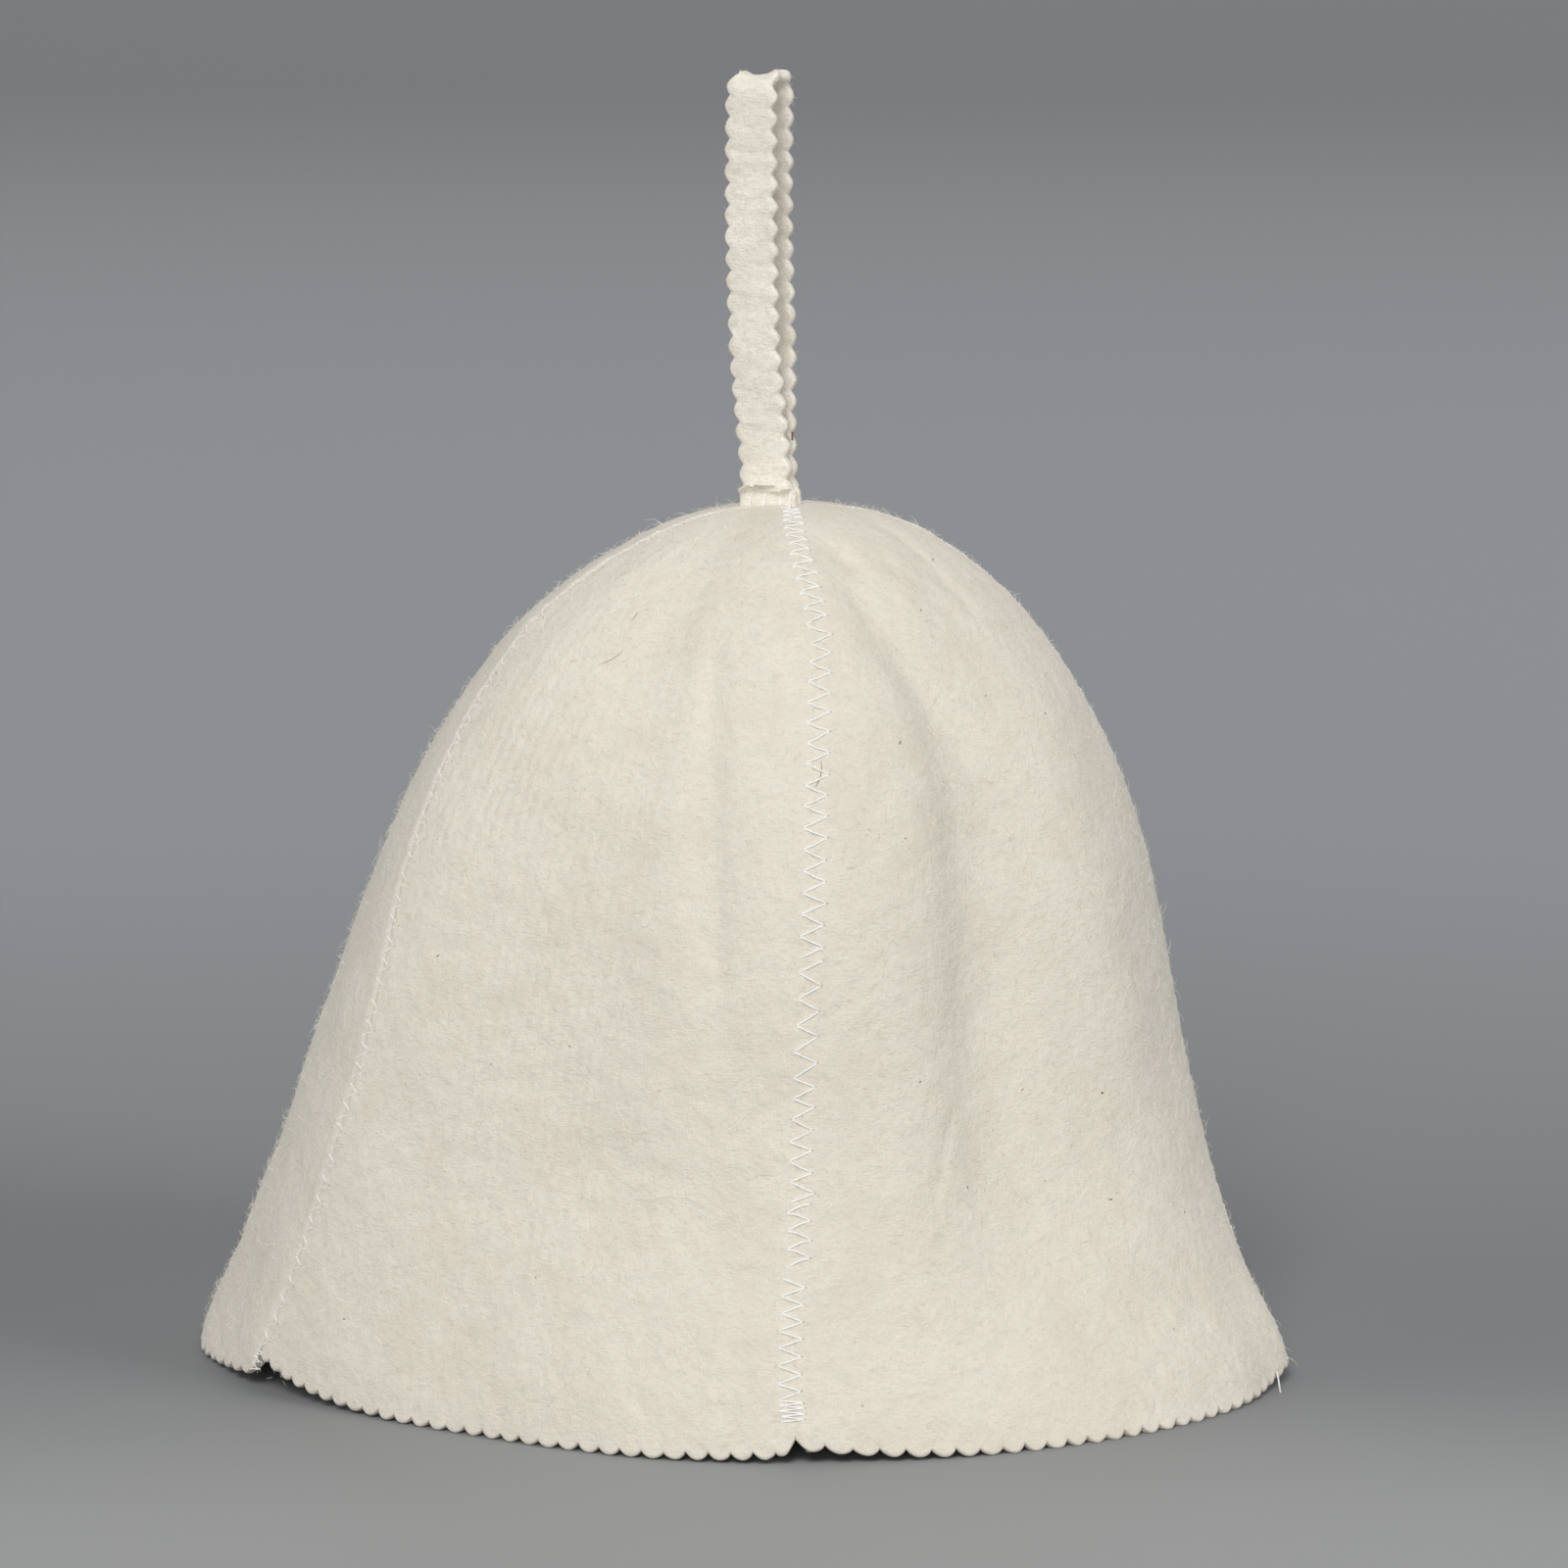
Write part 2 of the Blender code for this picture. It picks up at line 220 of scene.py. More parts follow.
@dataclass(frozen=True)
class FeltFinish:
    """Needled wool felt: cloudy cream, dimpled like peel, matted with fine fibres.

    Scales are in features per metre, and a share says how strongly a layer of colour shows.
    """

    name: str = "cream_wool_felt"
    light: Colour = (0.785, 0.735, 0.64, 1.0)
    warm: Colour = (0.67, 0.605, 0.49, 1.0)
    cool: Colour = (0.68, 0.65, 0.585, 1.0)
    speck: Colour = (0.30, 0.20, 0.12, 1.0)
    # Painted shade: a warm darkening low on the front right, near the hem.
    hem_shade: Colour = (0.66, 0.56, 0.42, 1.0)
    sheen: Colour = (1.0, 0.97, 0.92, 1.0)
    cloud_scale: float = 55.0
    patch_scale: float = 240.0
    peel_scale: float = 330.0
    speck_scale: float = 85.0
    fibre_grain: Spot = (500.0, 500.0, 1700.0)
    fibre_turn: Spot = (0.3, 0.2, 0.0)
    cross_grain: Spot = (1600.0, 500.0, 600.0)
    cross_turn: Spot = (0.0, 0.4, 0.9)
    # Where the painted shade near the hem sits, how far it reaches, and how strongly it shows.
    hem_shade_spot: Spot = (0.088, -0.090, 0.010)
    hem_shade_reach: float = 0.022
    cloud_share: float = 0.30
    patch_share: float = 0.30
    fibre_share: float = 0.50
    cross_share: float = 0.42
    hem_shade_share: float = 0.16
    speck_share: float = 0.55
    peel_depth: float = 0.00055
    fibre_depth: float = 0.00062

    def material(self) -> Material:
        """The finish as a material.

        Colour is light felt clouded with warm and cool patches, with rare specks and a faint painted
        shade low on the front right near the hem. Bump is peel dimples 3 mm wide, then matted fibres
        under 1 mm wide in two directions.

        Returns:
            The material.
        """
        shader = Shader(self.name, {
            "Roughness": 0.93, "Specular IOR Level": 0.18,
            "Sheen Weight": 0.22, "Sheen Roughness": 0.45, "Sheen Tint": self.sheen,
        })
        place = shader.place()
        cloud = shader.noise(place, self.cloud_scale, 3.0, 0.6)
        patch = shader.noise(place, self.patch_scale, 3.0, 0.65)
        peel = shader.noise(place, self.peel_scale)
        fibre = shader.grain(place, self.fibre_grain, self.fibre_turn)
        cross = shader.grain(place, self.cross_grain, self.cross_turn)
        cell = {"Vector": place, "Scale": self.speck_scale, "Randomness": 1.0}
        dot = shader.add("ShaderNodeTexVoronoi", {}, cell, "Distance")
        colour = self.light
        for mask, share, layer in (
            (cloud.between(0.42, 0.66), self.cloud_share, self.warm),
            (patch.between(0.45, 0.70), self.patch_share, self.cool),
            (fibre.between(0.44, 0.68), self.fibre_share, self.warm),
            (cross.between(0.46, 0.70), self.cross_share, self.cool),
            # Painted shade, faint, low on the front right near the hem.
            (shader.near(place, self.hem_shade_spot, self.hem_shade_reach), self.hem_shade_share, self.hem_shade),
            (1.0 - dot.between(0.020, 0.034), self.speck_share, self.speck),
        ):
            colour = shader.blend(mask * share, colour, layer)
        shader.set("Base Color", colour)
        shader.set("Roughness", 0.86 + patch * 0.12)
        normal = shader.bump(peel * 0.7 + patch * 0.3, self.peel_depth, 0.9)
        shader.set("Normal", shader.bump(fibre * 0.5 + cross * 0.5, self.fibre_depth, 0.8, normal))
        return shader.material


@dataclass(frozen=True)
class ThreadFinish:
    """White sewing thread with a slight gloss and a twist of two plies."""

    name: str = "white_thread"
    lit: Colour = (0.99, 0.99, 0.98, 1.0)
    # groove is painted shade in the grooves between the plies; the thread's own colour is the white of
    # lit.
    groove: Colour = (0.93, 0.935, 0.93, 1.0)
    groove_depth: float = 0.00008
    plies: float = 2.0
    turns: float = 9.0

    def material(self) -> Material:
        """The finish: a sine of turns along plus plies round, read from the UV map, that goes from
        painted shade in the grooves between the plies to the white of their crests.

        Returns:
            The material.
        """
        gloss = {"Roughness": 0.42, "Specular IOR Level": 0.5, "Sheen Weight": 0.15}
        shader = Shader(self.name, gloss)
        uv = shader.add("ShaderNodeUVMap", {"uv_map": "UVMap"}, {})
        along = shader.add("ShaderNodeSeparateXYZ", {}, {0: uv}, "X")
        around = Link(shader, along.socket.node.outputs["Y"])
        turn = along * (TAU * self.turns) + around * (TAU * self.plies)
        twist = turn.math("SINE") * 0.5 + 0.5
        # Base colour: painted shade in the ply grooves, white on the crests.
        shader.set("Base Color", shader.blend(twist, self.groove, self.lit))
        shader.set("Normal", shader.bump(twist, self.groove_depth, 0.7))
        return shader.material


@dataclass(frozen=True)
class FibreFinish:
    """Loose wool or hair: one colour, a little darker in places."""

    name: str
    pale: Colour
    deep: Colour
    roughness: float = 0.75
    scale: float = 260.0

    def material(self) -> Material:
        """The finish, varied by noise a few millimetres wide.

        Returns:
            The material.
        """
        shader = Shader(self.name, {"Roughness": self.roughness, "Specular IOR Level": 0.3})
        vary = shader.noise(shader.place(), self.scale)
        shader.set("Base Color", shader.blend(vary.between(0.35, 0.65), self.pale, self.deep))
        return shader.material


@dataclass(frozen=True)
class FloorFinish:
    """Plain matt floor whose grey is painted light and shade by depth: pale in front, greyer at the
    hat, pale again behind it, greyer far off.
    """

    name: str = "floor_matt"
    # Painted light and shade: these greys stand for how bright the floor shows at each depth.
    front: Colour = (0.380, 0.388, 0.386, 1.0)
    middle: Colour = (0.250, 0.254, 0.262, 1.0)
    pale: Colour = (0.316, 0.326, 0.344, 1.0)
    far: Colour = (0.206, 0.209, 0.216, 1.0)

    def material(self) -> Material:
        """The finish, blended from colour to colour by depth in metres, as painted light and shade.

        Returns:
            The material.
        """
        shader = Shader(self.name, {"Roughness": 0.8, "Specular IOR Level": 0.2})
        depth = shader.add("ShaderNodeSeparateXYZ", {}, {0: shader.place()}, "Y")
        # Painted light and shade on one plain floor, stepped by depth.
        colour = shader.blend(depth.between(-0.20, 0.0), self.front, self.middle)
        colour = shader.blend(depth.between(0.0, 0.9), colour, self.pale)
        shader.set("Base Color", shader.blend(depth.between(1.0, 10.0), colour, self.far))
        return shader.material


# ---- Meshes


@dataclass
class Shape:
    """Points in millimetres, and faces over them in blocks that have the same number of corners."""

    points: Array
    blocks: list[Array]
    uv: "Array | None" = None

    @staticmethod
    def joined(shapes: "list[Shape]") -> "Shape":
        """Several shapes as one.

        Args:
            shapes: The shapes, all with a UV map or all without.

        Returns:
            One shape with all their points and faces.
        """
        blocks: list[Array] = []
        start = 0
        for shape in shapes:
            blocks += [block + start for block in shape.blocks]
            start += len(shape.points)
        mapped = all(shape.uv is not None for shape in shapes)
        uv = np.concatenate([shape.uv for shape in shapes]) if mapped else None
        return Shape(np.concatenate([shape.points for shape in shapes]), blocks, uv)

    def triangles(self) -> int:
        """How many triangles the faces come to."""
        return sum(len(block) * (block.shape[1] - 2) for block in self.blocks)


def ring_faces(index: Array) -> Array:
    """Quads between rings of points.

    Args:
        index: The points' numbers, as rings by points round.

    Returns:
        The quads' corners.
    """
    after = np.roll(index, -1, axis=-1)
    corners = [index[..., :-1, :], index[..., 1:, :], after[..., 1:, :], after[..., :-1, :]]
    return np.stack(corners, axis=-1).reshape(-1, 4)


def swept_tubes(paths: Array, radii: Array, sides: int, up: Array) -> Shape:
    """Closed round tubes along many paths at once.

    A ring point is the path's point plus radius times (cosine of its angle times aside plus sine of
    its angle times above), where aside is the path's direction crossed with up.

    Args:
        paths: Points, as tubes by steps by 3.
        radii: Radius at each step, as tubes by steps.
        sides: Points in a ring.
        up: A direction for each tube that its path doesn't run along.

    Returns:
        The tubes, with a UV map of share along and share round.
    """
    count, steps = paths.shape[:2]
    ahead = unit(np.gradient(paths, axis=1))
    aside = unit(np.cross(ahead, up[:, None, :]))
    above = np.cross(aside, ahead)
    angle = np.arange(sides) * TAU / sides
    ring = np.cos(angle)[:, None] * aside[:, :, None, :] + np.sin(angle)[:, None] * above[:, :, None, :]
    points = paths[:, :, None, :] + radii[:, :, None, None] * ring
    index = np.arange(count * steps * sides).reshape(count, steps, sides)
    caps = np.concatenate([index[:, 0], index[:, -1, ::-1]])
    along, around = np.meshgrid(np.linspace(0.0, 1.0, steps), angle / TAU, indexing="ij")
    uv = np.tile(np.stack([along, around], axis=-1).reshape(-1, 2), (count, 1))
    return Shape(points.reshape(-1, 3), [ring_faces(index), caps], uv)


class Maker:
    """Puts finished shapes into the scene as pieces that ride on the hat's body."""

    def __init__(self) -> None:
        """Starts with nothing made."""
        self.triangles = 0

    def mesh_object(
        self, name: str, shape: Shape, material: Material, crease: float = 50.0
    ) -> bpy.types.Object:
        """A smooth mesh object from a shape.

        Args:
            name: The object's name.
            shape: Its points in millimetres and faces.
            material: Its finish.
            crease: Angle in degrees past which an edge stays sharp.

        Returns:
            The object, at the origin, unturned and unscaled.
        """
        mesh = bpy.data.meshes.new(name)
        corners = np.concatenate([block.ravel() for block in shape.blocks]).astype(np.int32)
        sizes = np.concatenate([np.full(len(block), block.shape[1]) for block in shape.blocks])
        starts = np.concatenate([[0], np.cumsum(sizes)[:-1]]).astype(np.int32)
        mesh.vertices.add(len(shape.points))
        mesh.vertices.foreach_set("co", ((shape.points - BOX_CENTRE) * METRES_PER_MM).ravel())
        mesh.loops.add(len(corners))
        mesh.loops.foreach_set("vertex_index", corners)
        mesh.polygons.add(len(sizes))
        mesh.polygons.foreach_set("loop_start", starts)
        mesh.polygons.foreach_set("use_smooth", np.ones(len(sizes), dtype=bool))
        if shape.uv is not None:
            mesh.uv_layers.new(name="UVMap").data.foreach_set("uv", shape.uv[corners].ravel())
        mesh.update(calc_edges=True)
        mesh.validate()
        mesh.set_sharp_from_angle(angle=math.radians(crease))
        mesh.materials.append(material)
        made = bpy.data.objects.new(name, mesh)
        bpy.context.scene.collection.objects.link(made)
        return made

    def piece(
        self, name: str, shape: Shape, material: Material, slot: str = "", node: str = ""
    ) -> None:
        """Makes a piece of the hat, riding on its body.

        Args:
            name: The piece's name.
            shape: Its shape.
            material: Its finish.
            slot: The record's material slot, if it takes its finish from one; not used.
            node: The CAD node that it replaces, if any.
        """
        made = self.mesh_object(name, shape, material)
        if node:
            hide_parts(node)
        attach(made, ROOT_BODY)
        self.triangles += shape.triangles()
        LOG.info("%s: %d triangles", name, shape.triangles())


# ---- Crown


@dataclass(frozen=True)
class Section:
    """An ellipse across the crown, and the azimuths of the seams on it.

    half_width is its longer half, depth_share the shorter half's share of that, turn how far the
    longer half points forward of +X, and lean how far its middle stands towards +X.
    """

    height: float
    half_width: float
    depth_share: float
    turn: float
    lean: float
    front: float
    right: float
    back_right: float
    back_left: float
    left: float


@dataclass(frozen=True)
class Fold:
    """A soft fold between two places, that fades out at both ends. A negative depth is a bulge."""

    low_azimuth: float
    high_azimuth: float
    low_height: float
    high_height: float
    depth: float
    half_width: float


@dataclass(frozen=True)
class Crease:
    """A short dent along a straight line over the felt, its half_width in millimetres."""

    azimuth: float
    height: float
    to_azimuth: float
    to_height: float
    depth: float
    half_width: float


@dataclass(frozen=True)
class Ribs:
    """A patch of faint upright ribs pressed into the felt."""

    azimuth: float
    height: float
    reach_azimuth: float
    reach_height: float
    spacing: float
    depth: float


@dataclass(frozen=True)
class Unevenness:
    """Random unevenness: a sum of plane waves with random directions, lengths and phases."""

    depth: float
    shortest: float
    longest: float
    waves: int
    seed: int

    def at(self, points: Array) -> Array:
        """Its height, about as often above 0 as below.

        Args:
            points: Points in millimetres.

        Returns:
            The height at each.
        """
        rng = np.random.default_rng(self.seed)
        direction = unit(rng.normal(size=(self.waves, 3)))
        length = rng.uniform(self.shortest, self.longest, self.waves)
        phase = rng.uniform(0.0, TAU, self.waves)
        waves = np.cos(points @ (direction / length[:, None]).T * TAU + phase)
        return self.depth * waves.sum(axis=-1) * math.sqrt(2.0 / self.waves)


SECTIONS = (
    Section(0.0, 156.5, 0.725, 18.5, 1.5, 2.5, 79.5, 152.0, 221.0, 297.5),
    Section(12.0, 152.2, 0.735, 17.5, 1.2, 2.6, 81.0, 152.0, 221.0, 299.0),
    Section(30.0, 144.2, 0.750, 16.0, 0.5, 3.8, 84.0, 152.5, 221.0, 301.3),
    Section(55.0, 135.4, 0.765, 13.8, 0.3, 5.7, 88.0, 153.0, 221.0, 303.7),
    Section(85.0, 125.8, 0.790, 10.7, 2.2, 6.6, 91.0, 153.5, 221.0, 305.0),
    Section(115.0, 116.7, 0.820, 8.0, 5.4, 7.3, 92.0, 154.0, 220.5, 304.0),
    Section(143.0, 107.1, 0.845, 5.2, 8.5, 7.9, 92.0, 154.5, 220.5, 300.5),
    Section(168.0, 95.9, 0.860, 3.0, 10.3, 8.6, 92.0, 155.0, 220.0, 298.5),
    Section(189.0, 82.5, 0.870, 1.0, 12.0, 9.6, 92.0, 155.0, 220.0, 295.8),
    Section(206.0, 68.3, 0.880, 0.0, 13.4, 11.0, 91.0, 155.0, 220.0, 293.7),
    Section(217.0, 55.0, 0.890, 0.0, 15.2, 9.4, 90.0, 155.0, 220.0, 293.7),
    Section(226.0, 40.3, 0.900, 0.0, 17.0, 6.5, 88.0, 155.0, 220.0, 293.2),
    Section(231.4, 26.0, 0.900, 0.0, 18.3, 3.0, 85.0, 155.0, 220.0, 293.0),
    Section(233.6, 12.0, 0.900, 0.0, 18.8, 2.0, 82.0, 155.0, 220.0, 293.0),
    Section(234.0, 2.0, 0.900, 0.0, 18.8, 2.0, 82.0, 155.0, 220.0, 293.0),
)

FOLDS = (
    Fold(31.0, 35.0, 22.0, 206.0, 1.4, 5.0),
    Fold(38.0, 42.0, 20.0, 208.0, 3.4, 11.0),
    Fold(35.0, 41.0, 30.0, 212.0, 3.4, 9.5),
    Fold(42.0, 18.0, 168.0, 231.0, 3.6, 7.0),
    Fold(64.0, 64.0, 10.0, 222.0, -2.2, 9.0),
    Fold(-11.0, -14.0, 60.0, 200.0, -0.9, 5.5),
    Fold(-3.2, -12.2, 92.0, 216.0, 1.7, 3.6),
    Fold(-24.0, -28.0, 182.0, 232.0, 2.6, 10.0),
    Fold(-50.0, -48.0, 176.0, 229.0, -1.3, 8.0),
    Fold(-14.0, -14.0, -60.0, 70.0, -5.0, 20.0),
    Fold(118.0, 112.0, 20.0, 190.0, 3.0, 9.0),
    Fold(182.0, 188.0, 60.0, 215.0, 3.5, 9.0),
    Fold(-142.0, -136.0, 30.0, 200.0, 2.5, 9.0),
)

CREASES = (
    Crease(-7.5, 91.5, -2.0, 88.0, 0.30, 2.2),
    Crease(0.5, 85.5, 6.0, 92.0, 0.30, 2.2),
    Crease(-57.0, 122.5, -30.0, 125.5, 0.16, 2.6),
    Crease(-34.0, 124.5, -14.0, 126.0, 0.14, 2.6),
    Crease(-12.3, 200.0, -7.0, 169.0, 0.25, 2.6),
    Crease(-7.0, 169.0, -3.9, 119.0, 0.35, 2.6),
    Crease(79.5, 2.0, 79.5, 12.0, -1.8, 13.0),
    Crease(24.0, 64.0, 28.5, 84.0, 0.50, 2.4),
    Crease(60.0, 226.0, 61.5, 210.0, 0.55, 3.0),
    Crease(23.0, 224.0, 35.0, 213.0, 0.50, 2.6),
    Crease(-22.0, 215.0, -30.0, 196.0, 0.40, 4.0),
    Crease(14.0, 225.0, 40.0, 221.0, 0.60, 3.0),
    Crease(-40.0, 205.0, -26.0, 212.0, -0.45, 4.0),
    Crease(44.0, 62.0, 60.0, 70.0, 0.25, 3.0),
)

RIBS = (
    Ribs(-28.0, 110.0, 15.0, 62.0, 3.5, 0.06),
    Ribs(-46.0, 170.0, 12.0, 36.0, 3.6, 0.07),
)

SEAMS = ("front", "right", "back_right", "back_left", "left")


@dataclass(frozen=True)
class CrownShape:
    """The bell that all five gores lie on.

    Rows are numbers along the table of sections, whole at a section and fractional between two.
    The unevenness fades out within calm_beside_seam of a seam and calm_below under calm_height.
    """

    sections: tuple[Section, ...] = SECTIONS
    felt_thickness: float = 3.0
    seam_ridge: float = 0.09
    hem_ridge_share: float = 0.45
    ridge_full_height: float = 60.0
    fold_fade_power: float = 0.8
    groove_depth: float = 0.55
    groove_half_width: float = 0.9
    pucker_depth: float = 0.12
    pucker_pitch: float = 5.6
    pucker_start: float = 1.2
    pucker_reach: float = 3.5
    calm_beside_seam: float = 3.0
    calm_height: float = 234.2
    calm_below: float = 6.0
    broad: Unevenness = Unevenness(0.17, 18.0, 45.0, 24, 11)
    soft: Unevenness = Unevenness(0.070, 6.0, 12.0, 40, 12)
    peel: Unevenness = Unevenness(0.032, 2.4, 4.4, 60, 13)
    step: float = 0.01
    samples: int = 1401
    meridian_azimuth: float = 5.0

    def last_row(self) -> float:
        """The row at the top."""
        return len(self.sections) - 1.0

    def at_row(self, column: str, row: Array) -> Array:
        """A column of the table, on the Catmull-Rom curve through its values.

        Args:
            column: The name of a field of Section.
            row: Fractional rows.

        Returns:
            Its value at each row.
        """
        values = np.array([getattr(section, column) for section in self.sections])
        last = len(values) - 1
        low = np.clip(np.floor(row).astype(int), 0, last - 1)
        share = row - low
        here, above = values[low], values[low + 1]
        below = np.where(low > 0, values[np.maximum(low - 1, 0)], 2 * here - above)
        beyond = np.where(low + 2 <= last, values[np.minimum(low + 2, last)], 2 * above - here)
        curve = 3 * (here - above) + beyond - below
        curve = 2 * below - 5 * here + 4 * above - beyond + share * curve
        return here + 0.5 * share * (above - below + share * curve)

    def degree_length(self, row: Array) -> Array:
        """Millimetres round the crown to each degree, at rows."""
        return np.radians(self.at_row("half_width", row))

    def ellipse_points(self, azimuth: Array, row: Array, drawn_in: "Array | float") -> Array:
        """Points of the ellipses.

        A circle's point is turned by the section's turn, its depth is squeezed by the depth share,
        and it is turned back and moved by the lean.

        Args:
            azimuth: Azimuth of each point.
            row: Its row.
            drawn_in: How much shorter than the half width its circle's radius is.

        Returns:
            The points.
        """
        turn = np.radians(self.at_row("turn", row))
        radius = self.at_row("half_width", row) - drawn_in
        x = radius * np.sin(np.radians(azimuth))
        y = -radius * np.cos(np.radians(azimuth))
        along = x * np.cos(turn) - y * np.sin(turn)
        across = (x * np.sin(turn) + y * np.cos(turn)) * self.at_row("depth_share", row)
        x = along * np.cos(turn) + across * np.sin(turn) + self.at_row("lean", row)
        y = across * np.cos(turn) - along * np.sin(turn)
        return np.stack([x, y, self.at_row("height", row)], axis=-1)

    def normals(self, azimuth: Array, row: Array) -> Array:
        """Outward normals of the smooth crown: the step round crossed with the step up.

        Args:
            azimuth: Azimuth of each point.
            row: Its row.

        Returns:
            A unit vector for each.
        """
        above, below = np.minimum(row + self.step, self.last_row()), np.maximum(row - self.step, 0.0)
        rise = self.ellipse_points(azimuth, above, 0.0) - self.ellipse_points(azimuth, below, 0.0)
        along = self.ellipse_points(azimuth + self.step, row, 0.0)
        along = along - self.ellipse_points(azimuth - self.step, row, 0.0)
        return unit(np.cross(along, rise))

    def folds_at(self, azimuth: Array, height: Array) -> Array:
        """How far the soft folds draw the felt in.

        A fold is a bell across, times the sine of the share up it raised to a power.

        Args:
            azimuth: Azimuth of each point.
            height: Its height.

        Returns:
            The depth of all folds together.
        """
        depth = np.zeros_like(azimuth)
        for fold in FOLDS:
            share = (height - fold.low_height) / (fold.high_height - fold.low_height)
            share = np.clip(share, 0.0, 1.0)
            centre = fold.low_azimuth + (fold.high_azimuth - fold.low_azimuth) * share
            arch = np.sin(np.pi * share) ** self.fold_fade_power
            depth += fold.depth * arch * bell(degrees_from(azimuth, centre), fold.half_width)
        return depth

    def marks_at(self, azimuth: Array, row: Array) -> Array:
        """Depth of the creases and pressed ribs: bells of the distance from a line or a middle.

        Args:
            azimuth: Azimuth of each point.
            row: Its row.

        Returns:
            The depth of all marks together.
        """
        height = self.at_row("height", row)
        scale = self.degree_length(row)
        depth = np.zeros_like(azimuth)
        for mark in CREASES:
            aside, rise = degrees_from(azimuth, mark.azimuth) * scale, height - mark.height
            run_aside = (mark.to_azimuth - mark.azimuth) * scale
            run_rise = mark.to_height - mark.height
            share = (aside * run_aside + rise * run_rise) / (run_aside**2 + run_rise**2)
            share = np.clip(share, 0.0, 1.0)
            away = np.hypot(aside - share * run_aside, rise - share * run_rise)
            depth += mark.depth * bell(away, mark.half_width)
        for patch in RIBS:
            aside, rise = degrees_from(azimuth, patch.azimuth), height - patch.height
            fade = (aside / patch.reach_azimuth) ** 2 + (rise / patch.reach_height) ** 2
            depth += patch.depth * np.cos(TAU * aside * scale / patch.spacing) * np.exp(-fade)
        return depth

    def outer(self, azimuth: Array, across: Array, wide: Array, row: Array) -> tuple[Array, Array]:
        """The felt's outer face.

        The ellipse is flattened between the seams, drawn in by folds, and moved along its normal by
        creases, ribs, unevenness, and the groove and puckers of the nearer seam.

        Args:
            azimuth: Azimuth of each point.
            across: Its place across its gore, from -1 at the first seam to 1 at the last.
            wide: The gore's width in degrees at its row.
            row: Its row.

        Returns:
            The points, and the smooth crown's normals at them.
        """
        height = self.at_row("height", row)
        span = np.radians(wide) * self.at_row("half_width", row)
        flatness = 0.5 * (1.0 - across**2) + 0.5 * np.cos(0.5 * np.pi * across) ** 2
        share = np.clip(height / self.ridge_full_height, 0.0, 1.0)
        ridge = self.hem_ridge_share + (1.0 - self.hem_ridge_share) * share
        drawn_in = self.at_row("half_width", row) * self.seam_ridge * ridge * flatness
        drawn_in = drawn_in + self.folds_at(azimuth, height)
        points = self.ellipse_points(azimuth, row, drawn_in)
        from_seam = 0.5 * span * (1.0 - np.abs(across))
        sunk = self.groove_depth * bell(from_seam, self.groove_half_width)
        pucker = np.cos(TAU * height / self.pucker_pitch) * bell(from_seam, self.pucker_reach)
        sunk = sunk + self.pucker_depth * pucker * smoothstep(from_seam / self.pucker_start)
        rough = self.broad.at(points) + self.soft.at(points) + self.peel.at(points)
        calm = smoothstep(np.minimum(from_seam, span) / self.calm_beside_seam)
        calm = calm * smoothstep((self.calm_height - height) / self.calm_below)
        sunk = sunk + self.marks_at(azimuth, row) + rough * calm
        normals = self.normals(azimuth, row)
        return points - sunk[..., None] * normals, normals

    def gore_edges(self, first: str, last: str, row: Array) -> tuple[Array, Array]:
        """Azimuths of a gore's two seams at rows."""
        low, high = self.at_row(first, row), self.at_row(last, row)
        return low, np.where(high < low, high + 360.0, high)

    def on_gore(self, first: str, last: str, across: Array, row: Array) -> tuple[Array, Array]:
        """Points and normals of a gore's outer face, at places across it and rows."""
        low, high = self.gore_edges(first, last, row)
        return self.outer(low + (high - low) * 0.5 * (across + 1.0), across, high - low, row)

    def at_azimuth(self, azimuth: Array, row: Array) -> tuple[Array, Array]:
        """The felt's outer face on whichever gore an azimuth falls.

        Args:
            azimuth: Azimuth of each point.
            row: Its row.

        Returns:
            The points and the normals.
        """
        low, high, turned = (np.zeros_like(azimuth) for _ in range(3))
        for first, last in zip(SEAMS, SEAMS[1:] + SEAMS[:1]):
            start, end = self.gore_edges(first, last, row)
            shifted = start + np.mod(azimuth - start, 360.0)
            inside = shifted <= end
            low, high = np.where(inside, start, low), np.where(inside, end, high)
            turned = np.where(inside, shifted, turned)
        return self.outer(turned, 2.0 * (turned - low) / (high - low) - 1.0, high - low, row)

    def rows(self) -> Array:
        """Even rows from the hem to the top."""
        return np.linspace(0.0, self.last_row(), self.samples)

    def meridian(self) -> tuple[Array, Array]:
        """Length up the smooth crown's front, and the row at each."""
        azimuth = np.full(self.samples, self.meridian_azimuth)
        return running_length(self.ellipse_points(azimuth, self.rows(), 0.0)), self.rows()

    def row_of_height(self, height: Array) -> Array:
        """The row at a height."""
        return np.interp(height, self.at_row("height", self.rows()), self.rows())


